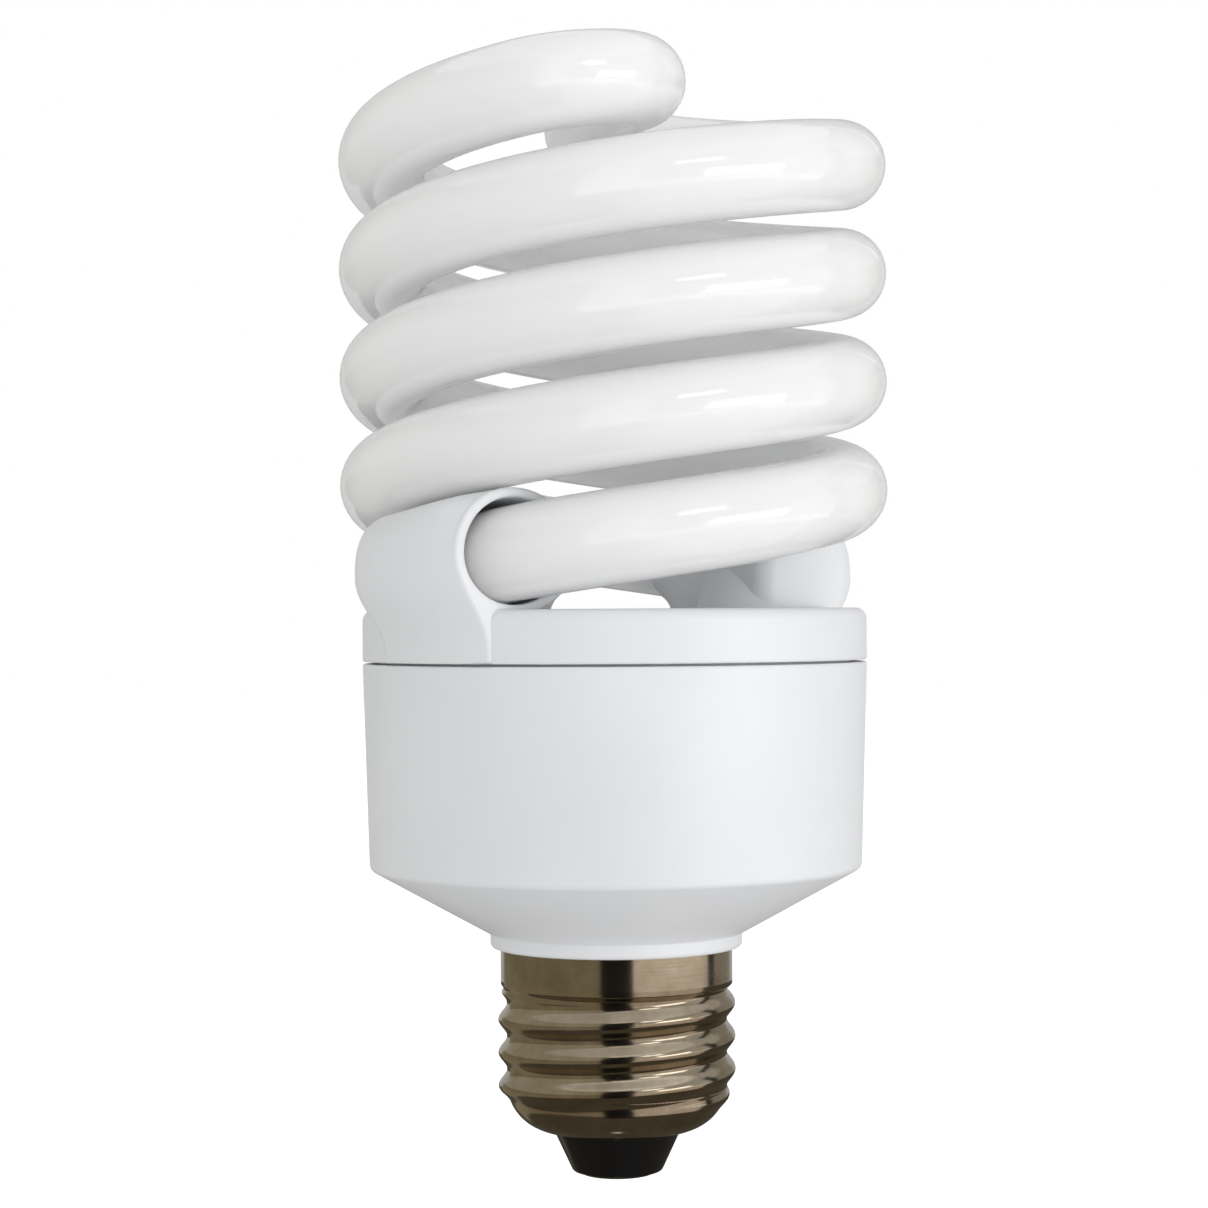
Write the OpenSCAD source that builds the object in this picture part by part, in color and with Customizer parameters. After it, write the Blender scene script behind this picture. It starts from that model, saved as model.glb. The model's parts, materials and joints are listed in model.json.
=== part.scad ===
// Spiral energy saving lamp with a screw cap. Millimetres, +Z up, origin under the centre contact.

/* [Screw cap] */
// Diameter of the centre contact
contact_d = 8.4; // [7:0.1:9]
// Thickness of the centre contact
contact_t = 0.9; // [0.6:0.1:1.2]
// How far the contact stands proud of the insulator
contact_proud = 0.3; // [0.2:0.05:0.5]
// Height of the black insulator between the contact and the rim of the shell
insulator_h = 4.0; // [3.4:0.1:4.6]
// Diameter of the insulator where the contact sits
insulator_foot_d = 9.8; // [9.4:0.1:10.6]
// Diameter of the hole in the bottom of the shell
shell_mouth_d = 14.1; // [13:0.1:15]
// Length of the screw shell
shell_len = 20.1; // [19.6:0.1:21]
// Thickness of the rolled sheet
shell_wall = 0.35; // [0.3:0.01:0.4]
// Diameter over the thread's crests
thread_major_d = 26.1; // [26:0.05:26.4]
// Diameter over the thread's roots
thread_minor_d = 24.2; // [24.1:0.05:24.3]
// Rise of the thread in one turn
thread_pitch = 3.629; // [3.6:0.001:3.65]
// Diameter of the plain band above the thread
band_d = 25.5; // [25.2:0.1:25.8]
// Height of the plain band
band_h = 4.7; // [4.3:0.1:5.1]
// Height of the rounded shoulder under the thread
shoulder_h = 5.0; // [4.5:0.1:5.5]

/* [Lower housing] */
// Thickness of the moulded walls
housing_wall = 1.6; // [1.4:0.1:1.8]
// Diameter of the collar on the shell
collar_d = 27.7; // [27:0.1:28.4]
// Height of the collar
collar_h = 1.7; // [1.4:0.1:2.2]
// Diameter where the cone starts
cone_low_d = 28.4; // [28:0.1:29]
// Height of the cone
cone_h = 7.1; // [6.6:0.1:7.6]
// Difference of the wall's diameter between the joint line and the cone
wall_taper = 1.3; // [0.6:0.1:2]
// Height of the wall
wall_h = 22.4; // [21.8:0.1:24]
// Diameter at the joint line
rim_d = 55.3; // [55:0.1:56]
// Length of the neck inside the screw shell
neck_len = 12.5; // [11:0.1:13.5]

/* [Upper cover] */
// Width of the groove at the joint line
joint_gap = 0.25; // [0.15:0.05:0.35]
// Height of the cover's band
cover_h = 5.6; // [5.2:0.1:6]
// Thickness of the cover
cover_wall = 1.5; // [1.3:0.1:1.7]
// Depth of the skirt that plugs into the lower housing
skirt_h = 4.0; // [3.4:0.1:4.4]
// Thickness of the hoods over the ends of the tube
hood_wall = 1.0; // [0.9:0.05:1.1]
// Angle of the hood's mouth around the axis
mouth_angle = 246.4; // [244:0.2:250]
// Turn of the mouth away from a square cut
mouth_skew = 25; // [20:1:30]
// Angle of the hood's end wall around the axis
hood_end_angle = 206; // [205:0.5:207]

/* [Glass spiral] */
// Outside diameter of the glass tube
tube_d = 9.8; // [9.4:0.05:10]
// Radius of the coil, to the middle of the tube
coil_r = 25.1; // [24.8:0.05:25.4]
// Rise of one strand in a full turn
coil_lead = 23.65; // [23.2:0.05:26]
// Height of the lowest strand's middle over the cover, at the front
coil_lift = 7.3; // [7.2:0.05:7.8]
// Angle where the foot of the tube starts to bend down
foot_angle = 245; // [243:0.5:246]
// Angle where the top of the strand starts to bend in
top_angle = 968.2; // [960:0.2:972]
// Radius of the bend at the top
top_bend_r = 8.9; // [8.4:0.1:9.4]
// Radius of the bend at the foot
foot_bend_r = 8.9; // [8.6:0.1:9.2]

/* [Ballast] */
// Thickness of the circuit board
board_t = 1.6; // [1.4:0.1:1.8]
// Drop from the joint line to the top of the board
board_drop = 6.6; // [6.2:0.1:7.4]
// Diameter of the electrolytic capacitor
can_d = 12.5; // [12:0.1:13]
// Length of the electrolytic capacitor
can_h = 24; // [20:0.5:26]
// Width of the choke's core
choke_w = 16; // [15:0.1:16.5]
// Height of the choke's core
choke_h = 13.6; // [12:0.1:14]
// Depth of the choke's core
choke_core_t = 5; // [4.5:0.1:5.5]
// Length of the choke's bobbin
bobbin_len = 12; // [11:0.1:12.5]
// Diameter of the ring transformer
ring_d = 10; // [9:0.1:10.5]
// Height of the ring transformer
ring_h = 4.4; // [4:0.1:5]
// Diameter of the filter inductor
drum_d = 8; // [7:0.1:8.2]
// Length of the filter inductor
drum_h = 10; // [8:0.1:11]
// Clear space between neighbouring parts on the board
part_gap = 0.8; // [0.6:0.05:0.9]

/* [Smoothness] */
// Facets around the turned parts
$fn = 96; // [64:8:128]
// Facets around the glass tube
tube_sides = 14; // [12:1:16]
// Turn of the coil between two rings of the glass tube
ring_step = 10; // [9:1:12]
// Facets around the threaded shell
thread_sides = 36; // [32:4:44]
// Rows of facets in one turn of the thread
thread_rows = 7; // [6:1:8]

/* [Hidden] */

// Overrun of a cut past the face that it cuts
cut = 0.5;
// Running clearance between two fitted pieces
fit = 0.15;
// Turn between two points of a rounded edge
edge_step = 15;
// Facets around the ballast's small parts and their legs
small_sides = 32;
leg_sides = 16;

// Heights of the main levels
shell_rim_z = contact_t + insulator_h;
shell_top_z = shell_rim_z + shell_len;
cone_z = shell_top_z + collar_h;
wall_z = cone_z + cone_h;
joint_z = wall_z + wall_h;
cover_z = joint_z + joint_gap;
cover_top_z = cover_z + cover_h;
coil_base_z = cover_top_z + coil_lift;
board_top_z = joint_z - board_drop;
board_z = board_top_z - board_t;

// The front of the lamp, where the coil's height is measured
front_angle = 270;
full_turn = 360;
half_turn = 180;
quarter_turn = 90;

// Thread
thread_depth = (thread_major_d - thread_minor_d) / 2;
root_r = thread_minor_d / 2;
mouth_r = shell_mouth_d / 2;
shoulder_top_z = shell_rim_z + shoulder_h;
band_low_z = shell_top_z - band_h;
// Height of a crest straight right of the axis, over the rim
thread_phase = 10.3;
thread_start = 2.2;
thread_fade_in = 2.4;
thread_fade_out = 1.2;
band_step = 0.7;
shoulder_rows = 6;

// Neck and housing
neck_r = root_r - shell_wall - fit;
neck_band_r = band_d / 2 - shell_wall - fit;
neck_wall = 1.2;
edge_r = 1.5;
snap_h = 1.2;
snap_depth = 0.35;
rib_count = 4;
rib_t = 1.6;
rib_reach = 2.4;
rib_h = 9;
board_side_gap = 0.6;

wall_low_d = rim_d - wall_taper;

// Upper cover
cover_edge_r = 1.2;
skirt_t = 1.2;

// Tube's foot
foot_lean = 42;
foot_turn = 78;
foot_leg = 1.6;
foot_steps = 8;
top_steps = 9;
bridge_steps = 5;
bridge_ease = 0.82;

// Hoods
tube_gap = 0.35;
roof_gap = 0.3;
hood_sides = 24;
hood_steps = 4;
square_angle = 225;
upright_share = 0.5;
hood_power = 0.7;
hood_edge_r = 2.4;
hood_edge_steps = 3;
hood_inner_ease = 0.8;
hood_proud = 0.25;
hood_r = tube_d / 2 + tube_gap + hood_wall;
hood_roof = coil_lead / 2 - tube_d / 2 - roof_gap;
leg_start_turn = 32;
leg_start_share = 0.6;
leg_full_turn = 46;
leg_steps = 3;
hood_foot = rim_d / 2 + hood_proud - coil_r;

// Colours
glass_white = [0.94, 0.94, 0.95];
plastic_white = [0.90, 0.91, 0.92];
nickel = [0.66, 0.62, 0.56];
insulator_black = [0.05, 0.05, 0.05];
brass = [0.78, 0.66, 0.36];
board_tan = [0.70, 0.56, 0.32];
can_blue = [0.12, 0.16, 0.28];
ferrite = [0.20, 0.20, 0.21];
bobbin_cream = [0.88, 0.84, 0.72];
copper = [0.72, 0.38, 0.20];
film_red = [0.62, 0.20, 0.14];
film_green = [0.18, 0.42, 0.26];
epoxy_black = [0.09, 0.09, 0.10];
resistor_tan = [0.76, 0.62, 0.44];
tin = [0.78, 0.78, 0.78];
wire_red = [0.70, 0.12, 0.10];
wire_white = [0.90, 0.90, 0.88];

// Vectors
function unit(v) = v / norm(v);
function around(a) = [cos(a), sin(a), 0];
function carried(v, t) = unit(v - (v * t) * t);
function smooth_step(x) = let (k = min(max(x, 0), 1)) k * k * (3 - 2 * k);
function reversed(list) = [for (i = [len(list) - 1:-1:0]) list[i]];
function turned(p) = [-p.x, -p.y, p.z];
function tangents(path) = let (last = len(path) - 1)
    [for (i = [0:last]) unit(path[min(i + 1, last)] - path[max(i - 1, 0)])];

// Side vectors that follow a path without twisting
function side_vectors(t, start) = let (last = len(t) - 1)
    [for (i = 0, v = carried(start, t[0]); i <= last;
          v = carried(v, t[min(i + 1, last)]), i = i + 1) v];

// Rings of points around a path
function tube_rings(path, r, sides, start) =
    let (t = tangents(path), v = side_vectors(t, start))
    [for (i = [0:len(path) - 1]) let (w = cross(t[i], v[i]))
        [for (j = [0:sides - 1]) let (a = full_turn * j / sides)
            path[i] + r * (cos(a) * v[i] + sin(a) * w)]];

// A closed solid through a row of rings, with a fan around the middle of each end
function middle(ring) = [for (p = ring) 1] * ring / len(ring);
module loft(rings) {
    n = len(rings[0]);
    last = len(rings) - 1;
    points = concat([for (ring = rings) each ring], [middle(rings[0]), middle(rings[last])]);
    sides = [for (i = [0:last - 1]) for (j = [0:n - 1])
        let (a = i * n + j, b = i * n + (j + 1) % n)
        each [[a, a + n, b + n], [a, b + n, b]]];
    fans = [for (j = [0:n - 1]) let (k = (j + 1) % n, end = last * n)
        each [[end + n, j, k], [end + n + 1, end + k, end + j]]];
    polyhedron(points, concat(sides, fans), convexity = 10);
}

// A closed skin through a loop of rings
module ring_skin(rings) {
    n = len(rings[0]);
    count = len(rings);
    points = [for (ring = rings) each ring];
    faces = [for (i = [0:count - 1]) for (j = [0:n - 1])
        let (a = i * n + j, b = i * n + (j + 1) % n)
        let (c = (i + 1) % count * n + j, d = (i + 1) % count * n + (j + 1) % n)
        each [[a, c, d], [a, d, b]]];
    polyhedron(points, faces, convexity = 10);
}

module wire(path, d, sides, start) {
    loft(tube_rings(path, d / 2, sides, start));
}

// Route of the glass tube
coil_slope = coil_lead / (2 * PI * coil_r);
coil_rise = norm([1, coil_slope]);
function coil_z(a) = coil_base_z + coil_lead * (a - front_angle) / full_turn;
function coil_point(a) = coil_r * around(a) + [0, 0, coil_z(a)];
function down_coil(a) = unit([sin(a), -cos(a), -coil_slope]);

foot_start = coil_point(foot_angle);
foot_ahead = down_coil(foot_angle);
foot_inward = -around(foot_angle);
foot_under = unit(cross(foot_ahead, foot_inward));
foot_bend_to = cos(foot_lean) * foot_under + sin(foot_lean) * foot_inward;
function foot_point(a) = foot_start
    + foot_bend_r * (sin(a) * foot_ahead + (1 - cos(a)) * foot_bend_to);
foot_exit = cos(foot_turn) * foot_ahead + sin(foot_turn) * foot_bend_to;
foot_end = foot_point(foot_turn) + foot_leg * foot_exit;

foot_path = [for (i = [1:foot_steps]) foot_point(foot_turn * i / foot_steps)];

// The strand bends in on an arc that is tangent to the line through the axis
bend_centre_r = coil_r - top_bend_r;
bend_sweep = quarter_turn + asin(top_bend_r / bend_centre_r);
bend_plan = [for (i = [1:top_steps]) bend_centre_r * around(top_angle)
    + top_bend_r * around(top_angle + bend_sweep * i / top_steps)];
bend_exit = bend_plan[top_steps - 1];
bend_len = top_bend_r * bend_sweep * PI / half_turn;
bridge_len = norm(bend_exit);
top_len = bend_len + bridge_len;
top_z = coil_z(top_angle);
function bridge_z(s) = top_z + coil_slope * (s - bridge_ease * s * s / (2 * top_len));

bend_path = [for (i = [1:top_steps]) bend_plan[i - 1]
    + [0, 0, bridge_z(bend_len * i / top_steps)]];
bridge_path = [for (i = [1:bridge_steps]) bend_exit * (1 - i / bridge_steps)
    + [0, 0, bridge_z(bend_len + bridge_len * i / bridge_steps)]];
coil_steps = round((top_angle - foot_angle) / ring_step);
coil_path = [for (i = [0:coil_steps])
    coil_point(foot_angle + (top_angle - foot_angle) * i / coil_steps)];
half_path = concat([foot_end], reversed(foot_path), coil_path, bend_path, bridge_path);
rest_path = [for (i = [len(half_path) - 2:-1:0]) turned(half_path[i])];

module spiral_tube() {
    color(glass_white)
        wire(concat(half_path, rest_path), tube_d, tube_sides, around(foot_angle));
}

// How far the outer wall stands out from the strand's middle, at a depth under it
function wall_reach(d, depth) = hood_foot
    + (hood_r - hood_foot) * pow(1 - pow(min(d / depth, 1), 2), 3);

// Section of a hood around the strand's middle, with upright walls and a squarer top where
// upright is 1. The outer wall flows down to the joint line where flow is 1.
function hood_section(side, roof, inset, drop, depth, upright, flow) =
    let (lower = hood_sides / 4 - 1, power = 1 - (1 - hood_power) * upright)
    let (inner = side + hood_inner_ease * upright)
    [for (j = [0:hood_sides - 1])
        let (q = full_turn * j / hood_sides, u = cos(q), w = sin(q), f = max(abs(u), abs(w)))
        let (round = [side * u, side * w * coil_rise], share = (hood_sides - j) / lower)
        w >= 0
            ? [(u < 0 ? inner : side) * sign(u) * pow(abs(u), power), roof * pow(w, power) * coil_rise]
            : share <= 1
                ? round + flow * ([wall_reach(share * drop, depth) - inset, -share * drop] - round)
                : round + upright * ([min(u, 0) / f * inner, w / f * drop] - round)];

// The section around the coil, cut by an upright plane that is turned away from a square cut
function hood_ring(a, inset, edge, foot_z, upright, flow, skew, ahead) =
    [for (p = hood_section(hood_r - inset - edge, hood_roof - inset - edge, inset + edge,
            coil_z(a) - foot_z, coil_z(a) - cover_z, upright, flow))
        let (r = coil_r + p.x)
        let (at = a + quarter_turn - skew - acos((coil_r * sin(skew) + ahead) / r))
        r * around(at) + [0, 0, coil_z(a) + p.y]];

function arc_angle(len) = len / coil_r * half_turn / PI;

module hood_arch(inset, ahead, foot_z) {
    run = [for (i = [0:hood_steps]) let (k = i / hood_steps)
        let (upright = smooth_step(k / upright_share))
        hood_ring(mouth_angle + (square_angle - mouth_angle) * k, inset, 0, foot_z, upright,
            inset > 0 ? upright : 1, mouth_skew * (1 - k), i == 0 ? ahead : 0)];
    edge_r = hood_edge_r - inset;
    end = [for (i = [0:hood_edge_steps]) let (b = quarter_turn * i / hood_edge_steps)
        hood_ring(hood_end_angle + arc_angle(inset + edge_r * (1 - sin(b))), inset,
            edge_r * (1 - cos(b)), foot_z, 1, 1, 0, 0)];
    loft(concat(run, end));
}

// The round sleeve where the tube's foot leaves the upright walls, or the space inside it
function leg_ring(p, t, r) =
    let (n = carried(around(atan2(p.y, p.x)), t), b = cross(t, n))
    [for (j = [0:hood_sides - 1]) let (a = full_turn * j / hood_sides)
        p + r * cos(a) * n + r * sin(a) * b];
function bend_ahead(a) = cos(a) * foot_ahead + sin(a) * foot_bend_to;

module hood_leg(inset, below) {
    r = hood_r - inset;
    start = leg_ring(foot_point(leg_start_turn), bend_ahead(leg_start_turn), r * leg_start_share);
    bend = [for (i = [0:leg_steps])
        let (a = leg_full_turn + (foot_turn - leg_full_turn) * i / leg_steps)
        leg_ring(foot_point(a), bend_ahead(a), r)];
    leg = leg_ring(foot_point(foot_turn) + (foot_leg + below) * foot_exit, foot_exit, r);
    loft(concat([start], bend, [leg]));
}

module hood() {
    hood_arch(0, 0, cover_z);
    intersection() {
        hood_leg(0, hood_r);
        translate([0, 0, cover_z])
            cylinder(r = rim_d, h = cover_h + 2 * tube_d);
    }
}

// Section of the cover without its hoods
skirt_r = rim_d / 2 - housing_wall - fit;
module cover_section() {
    edge_x = rim_d / 2 - cover_edge_r;
    edge_z = cover_top_z - cover_edge_r;
    bead_z = joint_z - skirt_h / 2;
    polygon(concat(
        [[0, cover_top_z - cover_wall], [skirt_r - skirt_t, cover_top_z - cover_wall]],
        [[skirt_r - skirt_t, joint_z - skirt_h], [skirt_r - fit, joint_z - skirt_h]],
        [[skirt_r, bead_z - snap_h / 2], [skirt_r + snap_depth, bead_z]],
        [[skirt_r, bead_z + snap_h / 2], [skirt_r, cover_z], [rim_d / 2, cover_z]],
        [for (a = [0:edge_step:quarter_turn])
            [edge_x + cover_edge_r * cos(a), edge_z + cover_edge_r * sin(a)]],
        [[0, cover_top_z]]
    ));
}

module upper_cover() {
    color(plastic_white)
        difference() {
            union() {
                rotate_extrude() cover_section();
                hood();
                rotate([0, 0, half_turn]) hood();
            }
            for (a = [0, half_turn])
                rotate([0, 0, a]) {
                    hood_arch(hood_wall, cut, cover_top_z - cover_wall - cut);
                    hood_leg(hood_wall, hood_r + tube_d);
                }
        }
}

// Section of the lower housing, from the neck's foot up the outside and down the inside
inner_low_r = wall_low_d / 2 - housing_wall;
inner_rim_r = rim_d / 2 - housing_wall;
neck_bore_r = neck_r - neck_wall;
cone_run = (wall_low_d - cone_low_d) / 2;
cone_lean = atan2(cone_h, cone_run);
cone_rise = housing_wall / cos(cone_lean);
function cone_inner_z(r) = cone_z + cone_rise + (r - cone_low_d / 2) * tan(cone_lean);

module housing_section() {
    edge_in = edge_r * tan(cone_lean / 2);
    snap_z = joint_z - skirt_h / 2;
    bore_z = cone_inner_z(neck_bore_r);
    polygon([
        [neck_bore_r, shell_top_z - neck_len],
        [neck_r, shell_top_z - neck_len],
        [neck_r, band_low_z + band_step],
        [neck_band_r, band_low_z + band_step + neck_band_r - neck_r],
        [neck_band_r, shell_top_z],
        [collar_d / 2 - edge_in, shell_top_z],
        [collar_d / 2, shell_top_z + edge_in],
        [collar_d / 2, cone_z],
        [cone_low_d / 2, cone_z],
        [wall_low_d / 2 - edge_r * cos(cone_lean), wall_z - edge_r * sin(cone_lean)],
        [wall_low_d / 2 - edge_in / 2, wall_z - edge_in / 2],
        [wall_low_d / 2, wall_z + edge_r],
        [rim_d / 2, joint_z],
        [inner_rim_r, joint_z],
        [inner_rim_r, snap_z + snap_h],
        [inner_rim_r + snap_depth, snap_z + snap_h / 2],
        [inner_rim_r + snap_depth, snap_z - snap_h / 2],
        [inner_rim_r, snap_z - snap_h],
        [inner_low_r, cone_inner_z(inner_low_r)],
        [neck_bore_r, bore_z]
    ]);
}

module board_ribs() {
    low_r = inner_low_r - rib_reach;
    for (i = [0:rib_count - 1])
        rotate([0, 0, full_turn * (i + 0.5) / rib_count])
            translate([low_r, -rib_t / 2, board_z - rib_h])
                cube([inner_low_r + housing_wall / 2 - low_r, rib_t, rib_h]);
}

module lower_housing() {
    color(plastic_white) {
        rotate_extrude() housing_section();
        board_ribs();
    }
}

// Screw shell: radius of the sheet's outside without thread, and height of the thread on it
shell_root_rows = concat(
    [for (i = [0:shoulder_rows - 1]) let (a = quarter_turn * i / shoulder_rows)
        [mouth_r + (root_r - mouth_r) * sin(a), shoulder_top_z - shoulder_h * cos(a)]],
    [for (z = [shoulder_top_z:thread_pitch / thread_rows:band_low_z]) [root_r, z]],
    [for (k = [0:0.5:1]) [root_r + (band_d / 2 - root_r) * smooth_step(k),
        band_low_z + band_step * k]],
    [[band_d / 2, shell_top_z]]
);

function thread_height(a, z) = thread_depth
    * smooth_step((z - shell_rim_z - thread_start) / thread_fade_in)
    * smooth_step((band_low_z + thread_fade_out / 2 - z) / thread_fade_out)
    * (1 + cos(full_turn * (z - shell_rim_z - thread_phase) / thread_pitch - a)) / 2;

function shell_ring(r, z, wall) = [for (j = [0:thread_sides - 1])
    let (a = full_turn * j / thread_sides)
    (r + thread_height(a, z) - wall) * around(a) + [0, 0, z]];

module screw_shell() {
    outer = [for (p = shell_root_rows) shell_ring(p.x, p.y, 0)];
    inner_shoulder = [for (i = [0:shoulder_rows - 1]) let (a = quarter_turn * i / shoulder_rows)
        [mouth_r + (root_r - mouth_r - shell_wall) * sin(a) + shell_wall,
            shoulder_top_z - (shoulder_h - shell_wall) * cos(a)]];
    inner_rows = [for (i = [0:len(shell_root_rows) - 1])
        i < shoulder_rows ? inner_shoulder[i] : shell_root_rows[i]];
    inner = [for (p = inner_rows) shell_ring(p.x, p.y, shell_wall)];
    color(nickel)
        ring_skin(concat(outer, reversed(inner)));
}

// Insulator: a glass plug that fills the shoulder of the shell
lead_hole_d = 1.8;
plug_gap = 0.1;
plug_share = 0.55;
foot_edge = 0.4;
module cap_insulator() {
    inner_r = root_r - mouth_r - shell_wall - plug_gap;
    inner_h = shoulder_h - shell_wall - plug_gap;
    plug_turn = acos(1 - plug_share);
    foot_r = insulator_foot_d / 2;
    color(insulator_black)
        rotate_extrude()
            polygon(concat(
                [[lead_hole_d / 2, contact_t], [contact_d / 2 + plug_gap, contact_t]],
                [[contact_d / 2 + plug_gap, contact_proud], [foot_r - foot_edge, contact_proud]],
                [[foot_r, contact_proud + foot_edge]],
                [[mouth_r - plug_gap, shell_rim_z - plug_gap]],
                [for (k = [0:0.25:1]) [mouth_r - plug_gap + inner_r * sin(plug_turn * k),
                    shoulder_top_z - inner_h * cos(plug_turn * k)]],
                [[lead_hole_d / 2, shoulder_top_z - inner_h * cos(plug_turn)]]
            ));
}

contact_edge = contact_t / 2;
module centre_contact() {
    color(brass)
        rotate_extrude()
            polygon(concat(
                [[0, 0]],
                [for (a = [0:edge_step:quarter_turn])
                    [contact_d / 2 - contact_edge + contact_edge * sin(a),
                        contact_edge - contact_edge * cos(a)]],
                [[contact_d / 2, contact_t], [0, contact_t]]
            ));
}

// Board and its parts, which hang under it
board_r = inner_low_r - board_side_gap;
module circuit_board() {
    color(board_tan)
        translate([0, 0, board_z])
            cylinder(r = board_r, h = board_t);
}

can_groove = 0.5;
can_groove_z = 3;
can_edge = 0.8;
module electrolytic_capacitor() {
    r = can_d / 2;
    color(can_blue)
        rotate_extrude()
            polygon([
                [0, board_z],
                [r - can_edge, board_z],
                [r, board_z - can_edge],
                [r, board_z - can_groove_z + can_groove],
                [r - can_groove, board_z - can_groove_z],
                [r, board_z - can_groove_z - can_groove],
                [r, board_z - can_h + can_edge],
                [r - can_edge, board_z - can_h],
                [0, board_z - can_h]
            ]);
}

// Choke: two E cores on a bobbin, with its centre leg upright
choke_x = -(can_d / 2 + part_gap + bobbin_len / 2);
yoke_share = 0.15;
leg_share = 0.125;
yoke_h = choke_h * yoke_share;
leg_w = choke_w * leg_share;
bobbin_gap = 0.1;
bobbin_wall = 0.6;
flange_t = 0.8;
flange_w = choke_w - 2 * leg_w - 2 * fit;
winding_inset = 0.3;
winding_r = 2;

module choke_core() {
    window_h = choke_h - 2 * yoke_h;
    window_w = (choke_w - 4 * leg_w) / 2;
    color(ferrite)
        translate([choke_x, 0, board_z - choke_h / 2])
            difference() {
                cube([choke_core_t, choke_w, choke_h], center = true);
                for (s = [-1, 1])
                    translate([0, s * (leg_w + window_w / 2), 0])
                        cube([choke_core_t + cut, window_w, window_h], center = true);
            }
}

bobbin_h = choke_h - 2 * yoke_h - 2 * bobbin_gap;
tube_x = choke_core_t + 2 * bobbin_gap;
tube_y = 2 * leg_w + 2 * bobbin_gap;
module choke_bobbin() {
    color(bobbin_cream)
        translate([choke_x, 0, board_z - choke_h / 2])
            difference() {
                union() {
                    cube([tube_x + 2 * bobbin_wall, tube_y + 2 * bobbin_wall, bobbin_h],
                        center = true);
                    for (s = [-1, 1])
                        translate([0, 0, s * (bobbin_h - flange_t) / 2])
                            cube([bobbin_len, flange_w, flange_t], center = true);
                }
                cube([tube_x, tube_y, bobbin_h + cut], center = true);
            }
}

module choke_winding() {
    h = bobbin_h - 2 * flange_t - 2 * bobbin_gap;
    hole_x = tube_x + 2 * bobbin_wall + 2 * bobbin_gap;
    hole_y = tube_y + 2 * bobbin_wall + 2 * bobbin_gap;
    out_x = bobbin_len / 2 - winding_inset - winding_r;
    out_y = flange_w / 2 - winding_inset - winding_r;
    color(copper)
        translate([choke_x, 0, board_z - choke_h / 2 - h / 2])
            linear_extrude(h)
                difference() {
                    hull()
                        for (x = [-out_x, out_x])
                            for (y = [-out_y, out_y])
                                translate([x, y]) circle(winding_r, $fn = small_sides);
                    square([hole_x, hole_y], center = true);
                }
}

// Transistors stand in a row in front of the capacitor
transistor_w = 8;
transistor_t = 2.7;
transistor_h = 10.8;
transistor_leg_h = 3;
transistor_leg_w = 0.7;
transistor_leg_t = 0.5;
transistor_leg_step = 2.3;
transistor_hole_d = 3.2;
transistor_hole_share = 0.65;
transistor_y = -(max(choke_w, can_d) / 2 + part_gap + transistor_t / 2);

module transistor() {
    translate([-transistor_w / 2, -transistor_t / 2, -transistor_leg_h - transistor_h])
        difference() {
            cube([transistor_w, transistor_t, transistor_h]);
            translate([transistor_w / 2, -cut, transistor_h * (1 - transistor_hole_share)])
                rotate([-quarter_turn, 0, 0])
                    cylinder(d = transistor_hole_d, h = transistor_t + 2 * cut);
        }
    for (i = [-1:1])
        translate([i * transistor_leg_step - transistor_leg_w / 2,
            -transistor_leg_t / 2, -transistor_leg_h])
            cube([transistor_leg_w, transistor_leg_t, transistor_leg_h]);
}

module switching_transistors() {
    color(epoxy_black)
        for (s = [-1, 1])
            translate([s * (transistor_w + part_gap) / 2, transistor_y, board_z])
                transistor();
}

// Ring transformer lies under the board, in front of the transistors
ring_y = transistor_y - transistor_t / 2 - part_gap - ring_d / 2;
ring_wire_t = 0.6;
ring_bore_share = 0.5;
ring_core_d = ring_d - 2 * ring_wire_t;
ring_bore_d = ring_d * ring_bore_share;
ring_core_h = ring_h - 2 * ring_wire_t;
winding_arc = 70;
winding_count = 3;

module ring_transformer_core() {
    color(film_green)
        translate([0, ring_y, board_z - ring_h + ring_wire_t])
            difference() {
                cylinder(d = ring_core_d, h = ring_core_h);
                translate([0, 0, -cut])
                    cylinder(d = ring_bore_d, h = ring_core_h + 2 * cut);
            }
}

module ring_transformer_windings() {
    bore_r = ring_bore_d / 2 - ring_wire_t;
    color(copper)
        translate([0, ring_y, board_z - ring_h])
            for (i = [0:winding_count - 1])
                rotate([0, 0, full_turn * i / winding_count])
                    rotate_extrude(angle = winding_arc)
                        difference() {
                            translate([bore_r, 0])
                                square([ring_d / 2 - bore_r, ring_h]);
                            translate([bore_r + ring_wire_t - bobbin_gap, ring_wire_t - bobbin_gap])
                                square([(ring_core_d - ring_bore_d) / 2 + 2 * bobbin_gap,
                                    ring_core_h + 2 * bobbin_gap]);
                        }
}

// Dipped film capacitors with two legs
leg_d = 0.6;
film_leg_h = 1.2;
film_edge = 1.2;
module film_capacitor(t, w, h) {
    translate([0, 0, -film_leg_h - h])
        linear_extrude(h)
            offset(r = film_edge, $fn = small_sides)
                square([t - 2 * film_edge, w - 2 * film_edge], center = true);
    for (s = [-1, 1])
        translate([0, s * w / 4, -film_leg_h])
            cylinder(d = leg_d, h = film_leg_h, $fn = leg_sides);
}

resonant_t = 6;
resonant_w = 13;
resonant_h = 11;
resonant_x = can_d / 2 + part_gap + resonant_t / 2;
module resonant_capacitor() {
    color(film_red)
        translate([resonant_x, 0, board_z])
            film_capacitor(resonant_t, resonant_w, resonant_h);
}

filter_t = 5;
filter_w = 10;
filter_h = 9;
filter_x = resonant_x + resonant_t / 2 + part_gap + filter_t / 2;
module filter_capacitor() {
    color(film_red)
        translate([filter_x, 0, board_z])
            film_capacitor(filter_t, filter_w, filter_h);
}

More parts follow.
